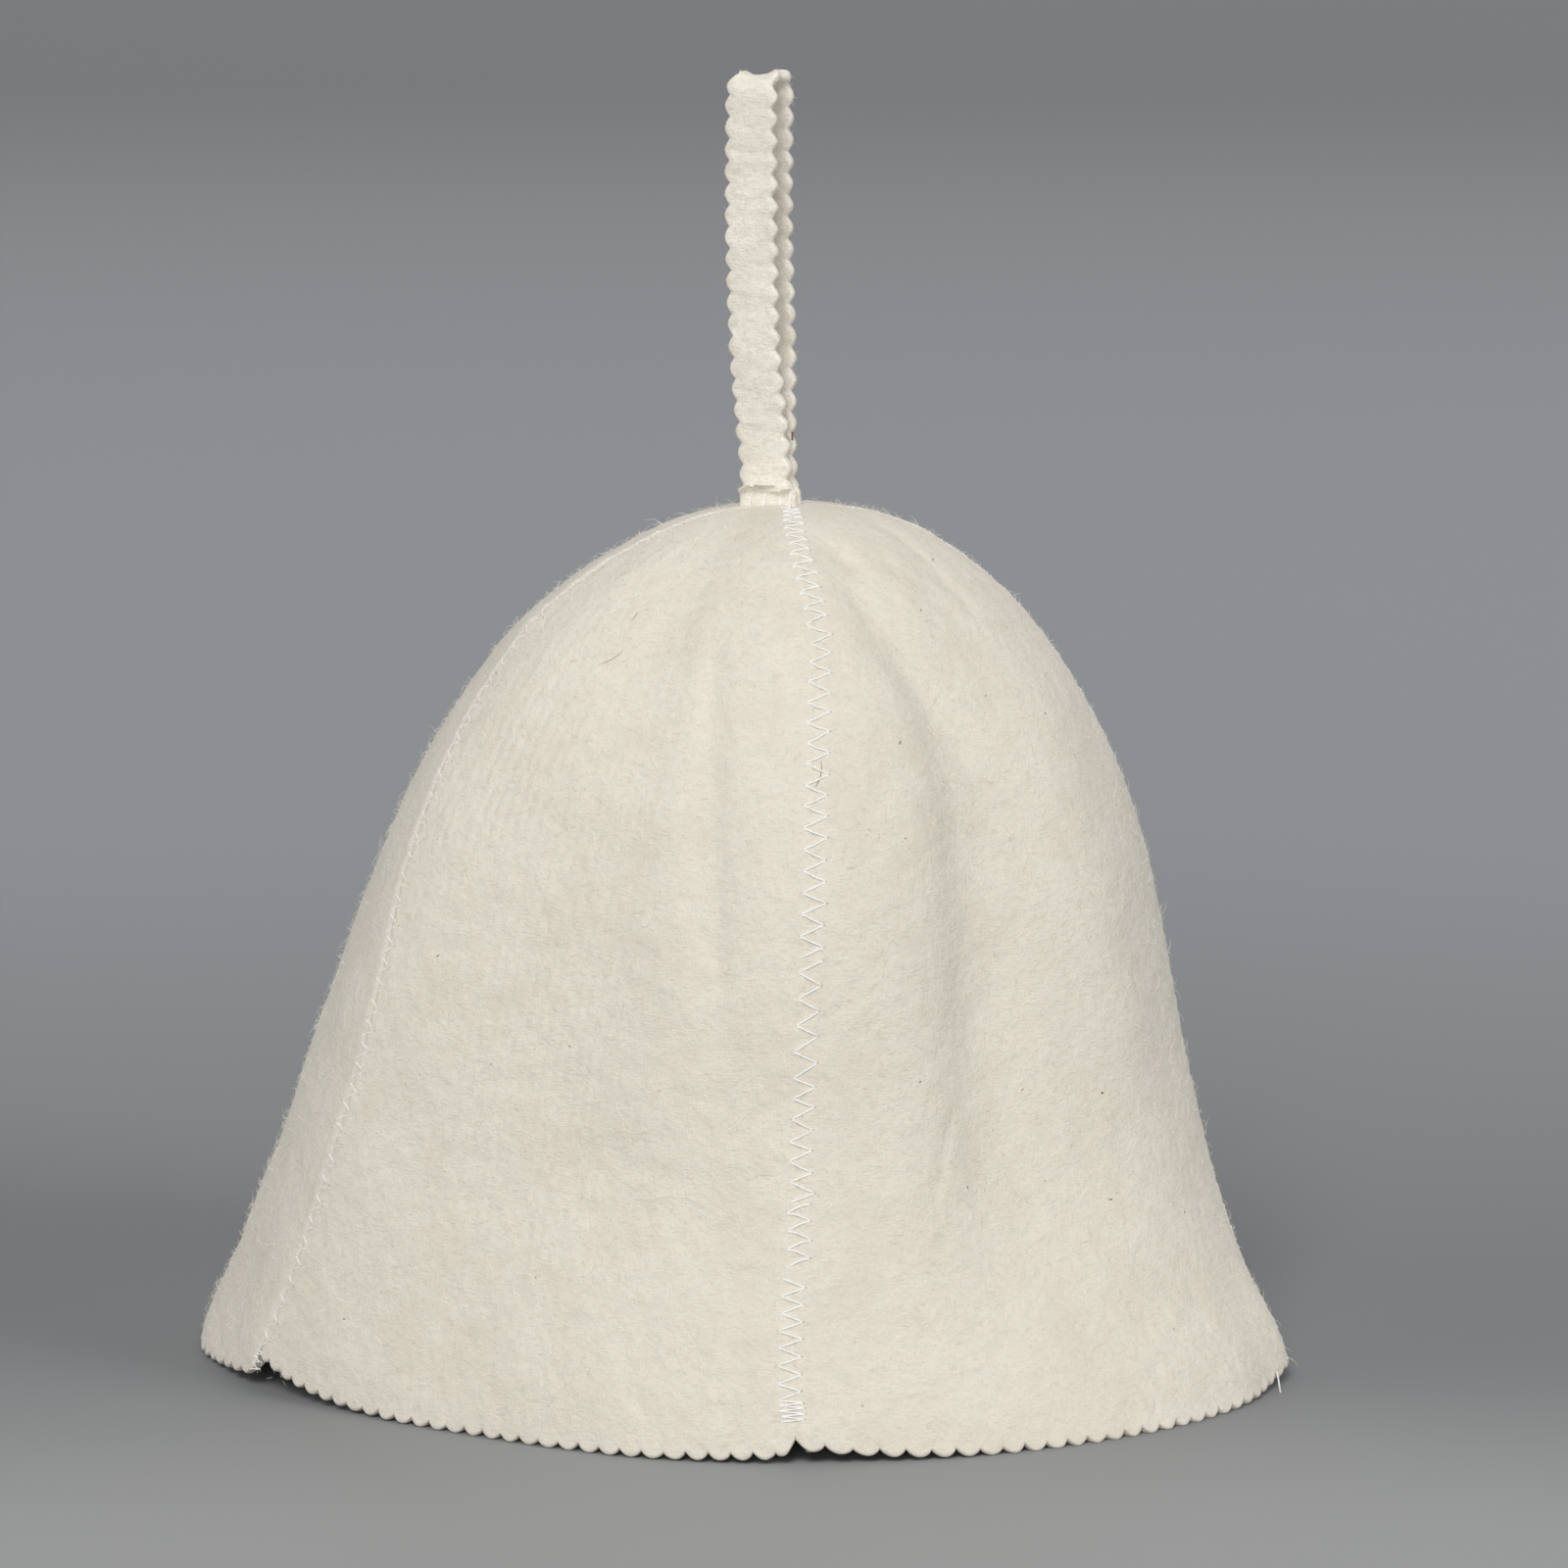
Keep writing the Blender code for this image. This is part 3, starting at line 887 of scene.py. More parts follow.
@dataclass
class FeltGore:
    """One felt panel, from one seam to the next, with a pinked hem.

    Its hem is lowest at its middle and rises to its seams by first_rise and last_rise.
    """

    name: str
    first_seam: str
    last_seam: str
    first_rise: float
    last_rise: float
    teeth: int
    columns_per_tooth: int
    inner_rows: int
    crown: CrownShape = CrownShape()
    level_share: float = 0.08
    rise_power: int = 3
    corner_rise: float = 2.4
    corner_reach: float = 3.2
    corner_power: float = 1.5
    last_lift: float = 0.0
    lift_reach: float = 6.0
    tooth_depth: float = 1.8
    tooth_roundness: float = 0.72
    row_crowding: float = 1.15
    edge_round: float = 1.25
    edge_squareness: float = 2.6
    edge_steps: int = 9
    rows_per_inner: int = 4

    def face(self, across: Array, row: Array) -> tuple[Array, Array]:
        """Points and normals of the panel's outer face, at places across it and rows."""
        return self.crown.on_gore(self.first_seam, self.last_seam, across, row)

    def hem_height(self, across: Array) -> Array:
        """Height of the hem: the slow rise to the seams plus the cut of the pinked teeth.

        A tooth's cut is 1 less the sine's size raised to the tooth's roundness, so its tip is round
        and its notch sharp. The cut's depth varies a little from tooth to tooth.

        Args:
            across: Places across the panel, from -1 to 1.

        Returns:
            The height at each.
        """
        side = np.maximum(np.abs(across) - self.level_share, 0.0) / (1.0 - self.level_share)
        rise = np.where(across < 0.0, self.first_rise, self.last_rise) * side**self.rise_power
        phase = 0.5 * (across + 1.0) * self.teeth
        cut = 1.0 - np.abs(np.sin(np.pi * phase)) ** self.tooth_roundness
        uneven = 1.0 + 0.12 * np.sin(2.3 * phase) + 0.08 * np.sin(5.1 * phase + 1.0)
        run = running_length(self.face(across, np.zeros_like(across))[0])
        from_corner = np.minimum(run, run[-1] - run)
        corner = np.clip(1.0 - from_corner / self.corner_reach, 0.0, 1.0) ** self.corner_power
        rise = rise + self.last_lift * (1.0 - smoothstep((run[-1] - run) / self.lift_reach))
        return rise + np.maximum(self.tooth_depth * uneven * cut, self.corner_rise * corner)

    def shape(self) -> Shape:
        """The panel as one closed shell.

        Each column is a ring: down the outer face, round the hem on a squared half circle, and up
        the inner face, which is the outer face less the felt's thickness along the normal.

        Returns:
            The shell.
        """
        crown = self.crown
        columns = self.teeth * self.columns_per_tooth
        across = np.linspace(-1.0, 1.0, columns + 1)
        lengths, rows = crown.meridian()
        hem = np.interp(crown.row_of_height(self.hem_height(across)), rows, lengths)
        outer_rows = self.inner_rows * self.rows_per_inner
        share = np.linspace(0.0, 1.0, outer_rows + 1)[::-1] ** self.row_crowding
        start = hem + self.edge_round
        row = np.interp(start + (lengths[-1] - start) * share[:, None], lengths, rows)
        outer, normals = self.face(np.broadcast_to(across, row.shape), row)
        angle = np.linspace(0.0, np.pi, self.edge_steps + 2)[1:-1, None]
        power = 2.0 / self.edge_squareness
        drop = self.edge_round * np.abs(np.sin(angle)) ** power
        depth = 0.5 * crown.felt_thickness * (1.0 - signed_power(np.cos(angle), power))
        edge_row = np.interp(start - drop, lengths, rows)
        edge, edge_normals = self.face(np.broadcast_to(across, edge_row.shape), edge_row)
        edge = edge - depth[..., None] * edge_normals
        inner = (outer - crown.felt_thickness * normals)[:: -self.rows_per_inner]
        ring = np.concatenate([outer, edge, inner])
        ring[..., 2] = np.maximum(ring[..., 2], 0.0)
        index = np.arange(ring.shape[0] * ring.shape[1]).reshape(ring.shape[:2])
        below = np.roll(index, -1, axis=0)
        quads = np.stack([index[:, :-1], below[:, :-1], below[:, 1:], index[:, 1:]], axis=-1)
        blocks = [quads.reshape(-1, 4)]
        for column, order in ((0, 1), (columns, -1)):
            blocks += self.side_faces(index[:, column], outer_rows, order)
        return Shape(ring.reshape(-1, 3), blocks)

    def side_faces(self, ring: Array, outer_rows: int, order: int) -> list[Array]:
        """Faces that close the panel along a seam, between its outer and inner edge.

        Args:
            ring: Point numbers of the ring at the seam, outer face first from the top down.
            outer_rows: Rows of the outer face.
            order: 1 at the first seam and -1 at the last, to face outwards.

        Returns:
            Blocks of faces.
        """
        outer = ring[: outer_rows + 1][::-1]
        edge = ring[outer_rows + 1 : outer_rows + 1 + self.edge_steps]
        inner = ring[outer_rows + 1 + self.edge_steps :]
        low = np.arange(self.inner_rows)[:, None]
        outer_run = outer[low * self.rows_per_inner + np.arange(self.rows_per_inner + 1)]
        strips = np.concatenate([outer_run, inner[low + 1], inner[low]], axis=1)
        hem = np.concatenate([outer[:1], inner[:1], edge[::-1]])[None, :]
        return [strips[:, ::order], hem[:, ::order]]


# ---- Seams


@dataclass(frozen=True)
class StitchRun:
    """Zigzag stitches between two lengths up a seam.

    aside is how far their middle lies towards rising azimuth from the seam, bow how far a thread
    bends up between its holes, and sunk how deep the holes pull its ends into the felt.
    """

    low: float
    high: float
    pitch: float
    width: float
    aside: float
    bow: float
    sunk: float = 0.35


FRONT_RUNS = (
    StitchRun(11.5, 17.0, 1.35, 6.6, -0.4, 0.0),
    StitchRun(17.0, 48.0, 4.3, 6.2, -0.8, 0.0),
    StitchRun(51.0, 67.0, 4.6, 6.2, 0.1, 0.5),
    StitchRun(67.0, 99.5, 5.5, 6.3, 0.6, 0.0),
    StitchRun(99.5, 130.0, 6.5, 6.3, 0.6, 0.0),
    StitchRun(130.0, 220.0, 5.7, 6.3, 0.3, 0.0),
    StitchRun(220.0, 250.0, 5.0, 6.2, -0.2, 1.0),
    StitchRun(250.0, 275.0, 4.0, 5.8, 0.0, 0.5),
)
SIDE_RUNS = (
    StitchRun(5.0, 12.0, 2.4, 4.4, 0.2, 0.3, 0.8),
    StitchRun(12.0, 75.0, 5.9, 5.2, 0.4, 0.2, 1.3),
    StitchRun(75.0, 230.0, 5.7, 6.0, 0.3, 0.3, 1.3),
    StitchRun(230.0, 284.0, 5.2, 5.8, 0.0, 0.5, 1.1),
)


@dataclass
class SeamStitching:
    """The zigzag of white thread that joins two gores edge to edge, and the painted shade of its needle
    holes.

    The shade of each needle hole is painted as a short dark oval along three points: places along it,
    and taper there, are shares of hole_length and hole_radius. It starts hole_aside past the thread's
    tip.
    """

    seam: str
    runs: tuple[StitchRun, ...]
    seed: int
    crown: CrownShape = CrownShape()
    radius: float = 0.20
    sides: int = 6
    steps: int = 8
    lift: float = 0.30
    arch_power: float = 0.35
    wander: float = 0.16
    # The dark ovals that paint the shade in the needle holes: their size, place and sinking.
    hole_radius: float = 0.21
    hole_length: float = 0.6
    hole_places: Spot = (-0.3, 0.0, 0.5)
    hole_taper: Spot = (0.6, 1.0, 0.45)
    hole_aside: float = 0.15
    hole_depth: float = 0.10

    def lengths(self) -> tuple[Array, Array]:
        """Length up the seam, and the row at each."""
        row = self.crown.rows()
        return running_length(self.crown.at_azimuth(self.crown.at_row(self.seam, row), row)[0]), row

    def on_felt(self, length: Array, aside: Array) -> tuple[Array, Array]:
        """Places beside the seam.

        Args:
            length: Lengths up the seam.
            aside: Distances from it, towards rising azimuth.

        Returns:
            Points and normals of the felt there.
        """
        row = np.interp(length, *self.lengths())
        turn = np.degrees(aside / self.crown.at_row("half_width", row))
        return self.crown.at_azimuth(self.crown.at_row(self.seam, row) + turn, row)

    def tips(self, stitches: StitchRun) -> tuple[Array, Array]:
        """The needle holes of a run, left and right in turn, each a little out of place.

        Args:
            stitches: The run.

        Returns:
            Their lengths up the seam and distances aside.
        """
        rng = np.random.default_rng(self.seed + int(stitches.low))
        count = max(int(round((stitches.high - stitches.low) / (0.5 * stitches.pitch))), 2)
        length = np.linspace(stitches.low, stitches.high, count + 1)
        side = np.where(np.arange(count + 1) % 2 == 0, -0.5, 0.5) * stitches.width
        closeness = min(stitches.pitch / 4.0, 1.0)
        length = length + rng.normal(0.0, self.wander, count + 1) * closeness
        return length, side + stitches.aside + rng.normal(0.0, self.wander, count + 1)

    def threads(self) -> Shape:
        """A thread from each hole to the next.

        Its height is an arch, the sine of the share along it raised to a power, which starts and
        ends sunk in the felt.

        Returns:
            The threads of all runs.
        """
        shapes = []
        share = np.linspace(0.0, 1.0, self.steps)
        arch = np.sin(np.pi * share)
        for stitches in self.runs:
            length, aside = self.tips(stitches)
            along = length[:-1, None] + np.diff(length)[:, None] * share + stitches.bow * arch
            points, normals = self.on_felt(along, aside[:-1, None] + np.diff(aside)[:, None] * share)
            height = (self.lift + stitches.sunk) * arch**self.arch_power - stitches.sunk
            paths = points + height[:, None] * normals
            radii = np.full(paths.shape[:2], self.radius)
            shapes.append(swept_tubes(paths, radii, self.sides, normals[:, self.steps // 2]))
        return Shape.joined(shapes)

    def holes(self) -> Shape:
        """Painted shade of the needle holes: short dark ovals just outside the tips, sunk to half their
        thickness.

        Returns:
            The ovals of all runs, those on the left smaller than those on the right.
        """
        shapes = []
        reach = np.array(self.hole_places) * self.hole_length
        for stitches in self.runs:
            length, aside = self.tips(stitches)
            side = np.sign(aside - stitches.aside)[:, None]
            over = aside[:, None] + side * (reach + self.hole_aside)
            points, normals = self.on_felt(np.broadcast_to(length[:, None], over.shape), over)
            radii = self.hole_radius * (0.8 + 0.2 * side) * np.array(self.hole_taper)
            paths = points - self.hole_depth * normals
            shapes.append(swept_tubes(paths, radii, self.sides, normals[:, 1]))
        return Shape.joined(shapes)


@dataclass(frozen=True)
class LooseThread:
    """A bare thread's path in the part's millimetres, through a few points."""

    points: tuple[Spot, ...]
    radius: float = 0.23
    degree: int = 3
    steps: int = 12
    sides: int = 6
    up: Spot = (0.3, 1.0, 0.2)

    def shape(self) -> Shape:
        """A tube along the smooth polynomial through the points.

        Returns:
            The tube.
        """
        known = np.linspace(0.0, 1.0, len(self.points))
        wanted = np.linspace(0.0, 1.0, self.steps)
        degree = min(len(self.points) - 1, self.degree)
        fits = [np.polyfit(known, axis, degree) for axis in zip(*self.points)]
        path = np.stack([np.polyval(fit, wanted) for fit in fits], axis=-1)
        radii = np.full((1, self.steps), self.radius)
        return swept_tubes(path[None], radii, self.sides, np.array([self.up]))


# ---- Hanging loop


@dataclass(frozen=True)
class FootStitch:
    """A short thread at the loop's foot.

    It starts aside of the strap's middle, goes slant further aside, and begins reach up the strap.
    """

    aside: float
    slant: float
    reach: float


FOOT_STITCHES = (
    FootStitch(-4.6, 0.0, 2.7),
    FootStitch(-0.3, -0.6, 3.2),
    FootStitch(3.6, 0.9, 2.2),
    FootStitch(6.8, 0.0, 3.0),
)


@dataclass
class HangingLoop:
    """A pinked felt strap folded in two, whose legs go down through the crown's top."""

    width: float = 14.7
    thickness: float = 2.8
    tooth_pitch: float = 5.83
    first_tooth: float = 9.4
    tooth_depth: float = 1.5
    tooth_roundness: float = 0.8
    turn: float = 20.0
    base_x: float = 13.7
    top_x: float = 10.8
    base_height: float = 234.0
    top_height: float = 350.0
    end_depth: float = 12.0
    spacing_at_slot: float = 3.1
    spacing_at_top: float = 12.0
    spread_start: float = 3.0
    spread_height: float = 45.0
    flat_half: float = 1.6
    saddle: float = 1.8
    saddle_reach: float = 7.0
    shoulder: float = 2.0
    bow: float = 1.3
    cuff_height: float = 3.9
    cuff_depth: float = 2.1
    cuff_fade: float = 7.0
    foot_flare: float = 0.7
    wrinkle: float = 0.035
    stitch_radius: float = 0.25
    stitch_spread: float = 1.3
    stitch_steps: int = 8
    leg_samples: int = 300
    corner_samples: int = 40
    stations: int = 620
    around: int = 44
    squareness: float = 5.0
    rough: Unevenness = Unevenness(0.09, 3.0, 8.0, 40, 21)

    def rise(self) -> float:
        """Height of the fold's outer face over the crown."""
        return self.top_height - self.base_height

    def path(self) -> tuple[Array, Array, Array]:
        """The strap's middle line from end to end.

        Each leg spreads from the slot's spacing by an even S of its height, and the fold is two
        quarter circles with a short flat between them.

        Returns:
            How far in front and how far up at even stations, and the length to each from the fold.
        """
        half_top, half_slot = 0.5 * self.spacing_at_top, 0.5 * self.spacing_at_slot
        bend = half_top - self.flat_half
        top = self.rise() - 0.5 * self.thickness
        up = np.linspace(-self.end_depth, top - bend, self.leg_samples)
        spread = smoothstep((up - self.spread_start) / self.spread_height)
        leg = np.stack([half_slot + (half_top - half_slot) * spread, up], axis=-1)
        angle = np.linspace(0.0, 0.5 * np.pi, self.corner_samples)[1:]
        circle = np.stack([np.cos(angle), np.sin(angle)], axis=-1)
        half = np.concatenate([leg, np.array([self.flat_half, top - bend]) + bend * circle])
        line = np.concatenate([half, half[::-1] * [-1.0, 1.0]])
        run = running_length(line)
        even = np.linspace(0.0, run[-1], self.stations)
        forward, up = (np.interp(even, run, column) for column in line.T)
        return forward, up, even - 0.5 * run[-1]

    def axes(self) -> tuple[Array, Array, Array, Array]:
        """Where the loop stands.

        Returns:
            Its base point, and its directions to the front, sideways and up its lean.
        """
        turn = math.radians(self.turn)
        front = np.array([-math.sin(turn), -math.cos(turn), 0.0])
        sideways = np.array([math.cos(turn), -math.sin(turn), 0.0])
        upward = np.array([(self.top_x - self.base_x) / self.rise(), 0.0, 1.0])
        return np.array([self.base_x, 0.0, self.base_height]), front, sideways, upward

    def half_widths(self, run: Array, up: Array, phase: float, roundness: "Array | float") -> Array:
        """Half the strap's width along it, less the cut of the teeth.

        A tooth's cut is 1 less the cosine's size raised to a power, mixed with an even wave, and a
        little deeper or shallower from tooth to tooth. There are no teeth under the cuff.

        Args:
            run: Length from the fold, along one leg below 0 and along the other above it.
            up: Height over the crown.
            phase: Teeth that the cut is moved by.
            roundness: The share of the round tooth in the mixture.

        Returns:
            The half width at each station.
        """
        teeth = (np.abs(run) - self.first_tooth) / self.tooth_pitch + phase
        arch = np.abs(np.cos(np.pi * teeth)) ** self.tooth_roundness
        cut = 1.0 - roundness * arch - (1.0 - roundness) * (0.5 + 0.5 * np.cos(TAU * teeth))
        flare = self.foot_flare * (1.0 - smoothstep((up - self.cuff_height + 0.6) / 1.2))
        worn = 1.0 + 0.05 * np.sin(run * 0.31) + 0.04 * np.sin(run * 0.83 + phase * 9.0)
        toothed = smoothstep((up - self.cuff_height) / 1.5)
        whole = 0.5 * self.width * (1.0 + 0.01 * np.sin(run * 0.11))
        return whole - self.tooth_depth * cut * worn * toothed + flare

    def aside(self, run: Array, up: Array, over: Array) -> Array:
        """How far points lie to the strap's right: the squared cosine over times the half width.

        Args:
            run: Length of each station from the fold.
            up: Its height over the crown.
            over: The squared cosine of each point round the strap.

        Returns:
            The distances, as stations by points round.
        """
        right = self.half_widths(run, up, -0.08, np.where(run > 0.0, 0.80, 0.35))
        right = right - self.shoulder * 0.5 * (1.0 - smoothstep(np.abs(run) / 6.0))
        left = self.half_widths(run, up, 0.55, 0.85)
        left = left - self.shoulder * (1.0 - smoothstep(np.abs(run) / 9.0))
        return np.where(over > 0.0, over * right[:, None], over * left[:, None])

    def swell(self, run: Array, up: Array, aside: Array, thick: Array) -> Array:
        """How far points stand off the strap's middle line.

        It is the squared sine thick times half the thickness, plus faint wrinkles. On the outer
        face it has the cuff too, which starts at a wavy edge and fades upwards as an exponential.

        Args:
            run: Length of each station from the fold.
            up: Its height over the crown.
            aside: How far each point lies to the strap's right.
            thick: The squared sine of each point round the strap.

        Returns:
            The distances, as stations by points round.
        """
        edge = self.cuff_height + 0.65 * np.sin(aside * 1.05 + 0.6) + 0.55 * np.sin(aside * 0.45 + 2.0)
        above = up[:, None] - edge
        fade = np.exp(-np.maximum(above, 0.0) / self.cuff_fade)
        cuff = self.cuff_depth * smoothstep(above / 0.7) * fade
        wave = np.cos(TAU * (np.abs(run) - self.first_tooth) / self.tooth_pitch)
        wrinkle = (self.wrinkle * wave)[:, None] * np.sign(thick)
        return 0.5 * self.thickness * thick + np.where(thick > 0.0, cuff * thick, 0.0) + wrinkle

    def shape(self) -> Shape:
        """The strap as one closed form.

        Across it is a squared oval: half the width times the cosine and half the thickness times the
        sine, each raised to a power. Over the fold its middle sags into a saddle, and half way up
        it is bowed to the left by a sine.

        Returns:
            The strap.
        """
        forward, up, run = self.path()
        base, front, sideways, upward = self.axes()
        ahead = unit(np.gradient(np.stack([forward, up], axis=-1), axis=0))
        outward = np.stack([ahead[:, 1], -ahead[:, 0]], axis=-1)
        angle = np.arange(self.around) * TAU / self.around
        over = signed_power(np.cos(angle), 2.0 / self.squareness)
        thick = signed_power(np.sin(angle), 2.0 / self.squareness)
        aside = self.aside(run, up, over)
        depth = self.swell(run, up, aside, thick)
        dip = self.saddle * (0.8 - over**2) - 0.35 * over
        dip = dip * smoothstep((up[:, None] - self.rise() + self.saddle_reach) / 6.0)
        bow = self.bow * np.sin(np.pi * np.clip(up / self.rise(), 0.0, 1.0))[:, None]
        points = (
            base
            + (forward[:, None] + depth * outward[:, :1])[..., None] * front
            + (up[:, None] + depth * outward[:, 1:] - dip)[..., None] * upward
            + (aside - bow)[..., None] * sideways
        )
        push = self.rough.at(points)[..., None] * np.sign(thick)[:, None]
        points = points + push * (outward[:, None, :1] * front + outward[:, None, 1:] * upward)
        index = np.arange(self.stations * self.around).reshape(self.stations, self.around)
        caps = np.stack([index[0][::-1], index[-1]])
        return Shape(points.reshape(-1, 3), [ring_faces(index)[:, [0, 3, 2, 1]], caps])

    def foot_stitches(self) -> Shape:
        """Short threads on both sides of the foot.

        Each starts sunk in the strap's face, goes out from it by a power of the share along it, and
        comes down evenly to just under the felt of the crown.

        Returns:
            The threads.
        """
        base, front, sideways, upward = self.axes()
        shapes = []
        face = 0.5 * self.spacing_at_slot + 0.5 * self.thickness
        share = np.linspace(0.0, 1.0, self.stitch_steps)
        radii = np.full((1, self.stitch_steps), self.stitch_radius)
        for side in (1.0, -1.0):
            for stitch in FOOT_STITCHES:
                out = face + 0.15 + self.stitch_spread * share**1.5
                up = stitch.reach * (1.0 - share) - self.stitch_spread * share
                path = base + np.outer(side * out, front)
                path = path + np.outer(stitch.aside + stitch.slant * share, sideways)
                path = path + np.outer(up, upward) - np.outer(0.5 * (share < 0.1), side * front)
                shapes.append(swept_tubes(path[None], radii, 6, np.array([sideways])))
        return Shape.joined(shapes)


# ---- Fuzz and flecks


@dataclass
class Fuzz:
    """Wool ends that stand off the felt all over: many short ones, and fewer long ones."""

    crown: CrownShape = CrownShape()
    seed: int = 31
    radius: float = 0.055
    tip_share: float = 0.45
    curl: float = 0.35
    root_depth: float = 0.08
    steps: int = 3
    sides: int = 3
    floor_gap: float = 0.1
    lowest: float = 4.0
    lowest_to: float = 9.0
    loop_lift: tuple[float, float] = (0.2, 0.8)

    def fibres(
        self, roots: Array, normals: Array, length: Array, lift: Array, rng: np.random.Generator
    ) -> Shape:
        """Curved fibres from their roots.

        A fibre runs along a random direction over the felt, rises by its lift and falls back, and
        curls aside with the square of the share along it.

        Args:
            roots: Where they start.
            normals: The felt's normals there.
            length: Length of each.
            lift: How far each stands off the felt.
            rng: Where the random directions and curls come from.

        Returns:
            The fibres.
        """
        heading = unit(np.cross(normals, rng.normal(size=normals.shape)))
        beside = np.cross(normals, heading)
        curl = rng.normal(0.0, self.curl, len(roots))
        share = np.linspace(0.0, 1.0, self.steps)[None, :, None]
        reach = length[:, None, None]
        paths = roots[:, None, :] + reach * share * heading[:, None, :]
        paths = paths + reach * curl[:, None, None] * share**2 * beside[:, None, :]
        rise = lift[:, None, None] * (1.6 * share - 0.6 * share**3) - self.root_depth
        paths = paths + rise * normals[:, None, :]
        paths[..., 2] = np.maximum(paths[..., 2], self.floor_gap)
        taper = self.radius * np.linspace(1.0, self.tip_share, self.steps)
        return swept_tubes(paths, np.broadcast_to(taper, paths.shape[:2]), self.sides, normals)

    def over_crown(
        self, count: int, length: tuple[float, float], lift: tuple[float, float], seed: int
    ) -> Shape:
        """Fibres spread evenly over the crown's outer face, those near the hem moved up a little.

        Args:
            count: How many.
            length: Their shortest and longest.
            lift: How far they stand off at least and at most.
            seed: Added to the fuzz's own seed.

        Returns:
            The fibres.
        """
        rng = np.random.default_rng(self.seed + seed)
        lengths, rows = self.crown.meridian()
        weight = np.cumsum(self.crown.at_row("half_width", rows) * np.gradient(lengths))
        row = np.interp(rng.uniform(0.02, 0.995, count) * weight[-1], weight, rows)
        low = self.crown.at_row("height", row) < self.lowest
        row = np.where(low, self.crown.row_of_height(np.full_like(row, self.lowest_to)), row)
        points, normals = self.crown.at_azimuth(rng.uniform(0.0, 360.0, count), row)
        lengths, lifts = rng.uniform(*length, count), rng.uniform(*lift, count)
        return self.fibres(points, normals, lengths, lifts, rng)

    def over_shape(self, shape: Shape, count: int, length: tuple[float, float], seed: int) -> Shape:
        """Fibres rooted at random faces of a finished shape, pointing away from them.

        Args:
            shape: The shape, whose first block is quads.
            count: How many.
            length: Their shortest and longest.
            seed: Added to the fuzz's own seed.

        Returns:
            The fibres.
        """
        rng = np.random.default_rng(self.seed + seed)
        quads = shape.blocks[0]
        corners = shape.points[quads[rng.integers(0, len(quads), count)]]
        normals = unit(np.cross(corners[:, 2] - corners[:, 0], corners[:, 3] - corners[:, 1]))
        lengths, lifts = rng.uniform(*length, count), rng.uniform(*self.loop_lift, count)
        return self.fibres(corners.mean(axis=1), normals, lengths, lifts, rng)


@dataclass(frozen=True)
class Fleck:
    """A dark hair or speck caught in the felt, at its middle's place, turned from level."""

    azimuth: float
    height: float
    length: float
    radius: float
    turn: float


FLECKS = (
    Fleck(64.0, 220.9, 0.9, 0.16, 20.0),
    Fleck(42.2, 209.8, 0.8, 0.12, 80.0),
    Fleck(51.4, 187.5, 0.7, 0.13, 10.0),
    Fleck(64.9, 181.1, 0.8, 0.14, 40.0),
    Fleck(24.8, 178.8, 1.1, 0.20, 60.0),
    Fleck(23.1, 155.4, 0.8, 0.12, 15.0),
    Fleck(-47.4, 121.4, 0.9, 0.16, 50.0),
    Fleck(43.0, 86.8, 0.8, 0.14, 30.0),
    Fleck(57.1, 83.2, 1.3, 0.22, 0.0),
    Fleck(54.1, 56.1, 1.4, 0.18, 5.0),
    Fleck(29.8, 64.8, 0.8, 0.14, 70.0),
    Fleck(23.1, 93.5, 0.9, 0.13, 20.0),
    Fleck(-49.1, 24.3, 0.8, 0.16, 0.0),
    Fleck(68.7, 48.5, 0.8, 0.17, 45.0),
    Fleck(-36.4, 198.0, 6.4, 0.07, 32.0),
    Fleck(-36.6, 208.6, 2.4, 0.07, 88.0),
    Fleck(9.6, 172.4, 6.6, 0.10, 74.0),
    Fleck(150.0, 120.0, 1.2, 0.14, 30.0),
    Fleck(205.0, 70.0, 1.0, 0.16, 75.0),
    Fleck(190.0, 180.0, 3.8, 0.07, 25.0),
    Fleck(250.0, 95.0, 1.1, 0.15, 10.0),
    Fleck(268.0, 160.0, 0.9, 0.14, 60.0),
    Fleck(108.0, 60.0, 1.0, 0.15, 40.0),
    Fleck(120.0, 190.0, 2.6, 0.07, 65.0),
)


@dataclass
class FleckScatter:
    """The flecks as thin bent spindles that lie in the felt's face."""

    flecks: tuple[Fleck, ...] = FLECKS
    crown: CrownShape = CrownShape()
    steps: int = 9
    sides: int = 6
    lift: float = 0.02

    def shape(self) -> Shape:
        """Spindles, each widest at its middle, and bent aside by a tenth of its length.

        Returns:
            The spindles.
        """
        table = np.array([[f.azimuth, f.height, f.length, f.radius, f.turn] for f in self.flecks])
        azimuth, height, length, radius, turn = (column[:, None] for column in table.T)
        turn = np.radians(turn)
        share = np.linspace(-0.5, 0.5, self.steps)[None, :]
        bend = 0.4 * length * (share**2)
        aside = length * share * np.cos(turn) - bend * np.sin(turn)
        rise = length * share * np.sin(turn) + bend * np.cos(turn)
        row = self.crown.row_of_height(height + rise)
        points, normals = self.crown.at_azimuth(azimuth + aside / self.crown.degree_length(row), row)
        radii = radius * (0.25 + 0.75 * np.sqrt(np.maximum(1.0 - (2.0 * share) ** 2, 0.0)))
        paths = points + self.lift * normals
        return swept_tubes(paths, radii, self.sides, normals[:, self.steps // 2])


# ---- Studio


class Aim(Enum):
    """What a lamp is for."""

    KEY = "key"
    RIGHT = "right"
    LEFT = "left"
    LOW = "low"
    BACK = "back"


@dataclass(frozen=True)
class Lamp:
    """A soft lamp far off, towards a place seen from the hat.

    Its spread is how wide it looks from the hat, in degrees, and its power is in watts on each
    square metre that faces it.
    """

    aim: Aim
    towards: Spot
    spread: float
    power: float
    colour: Spot


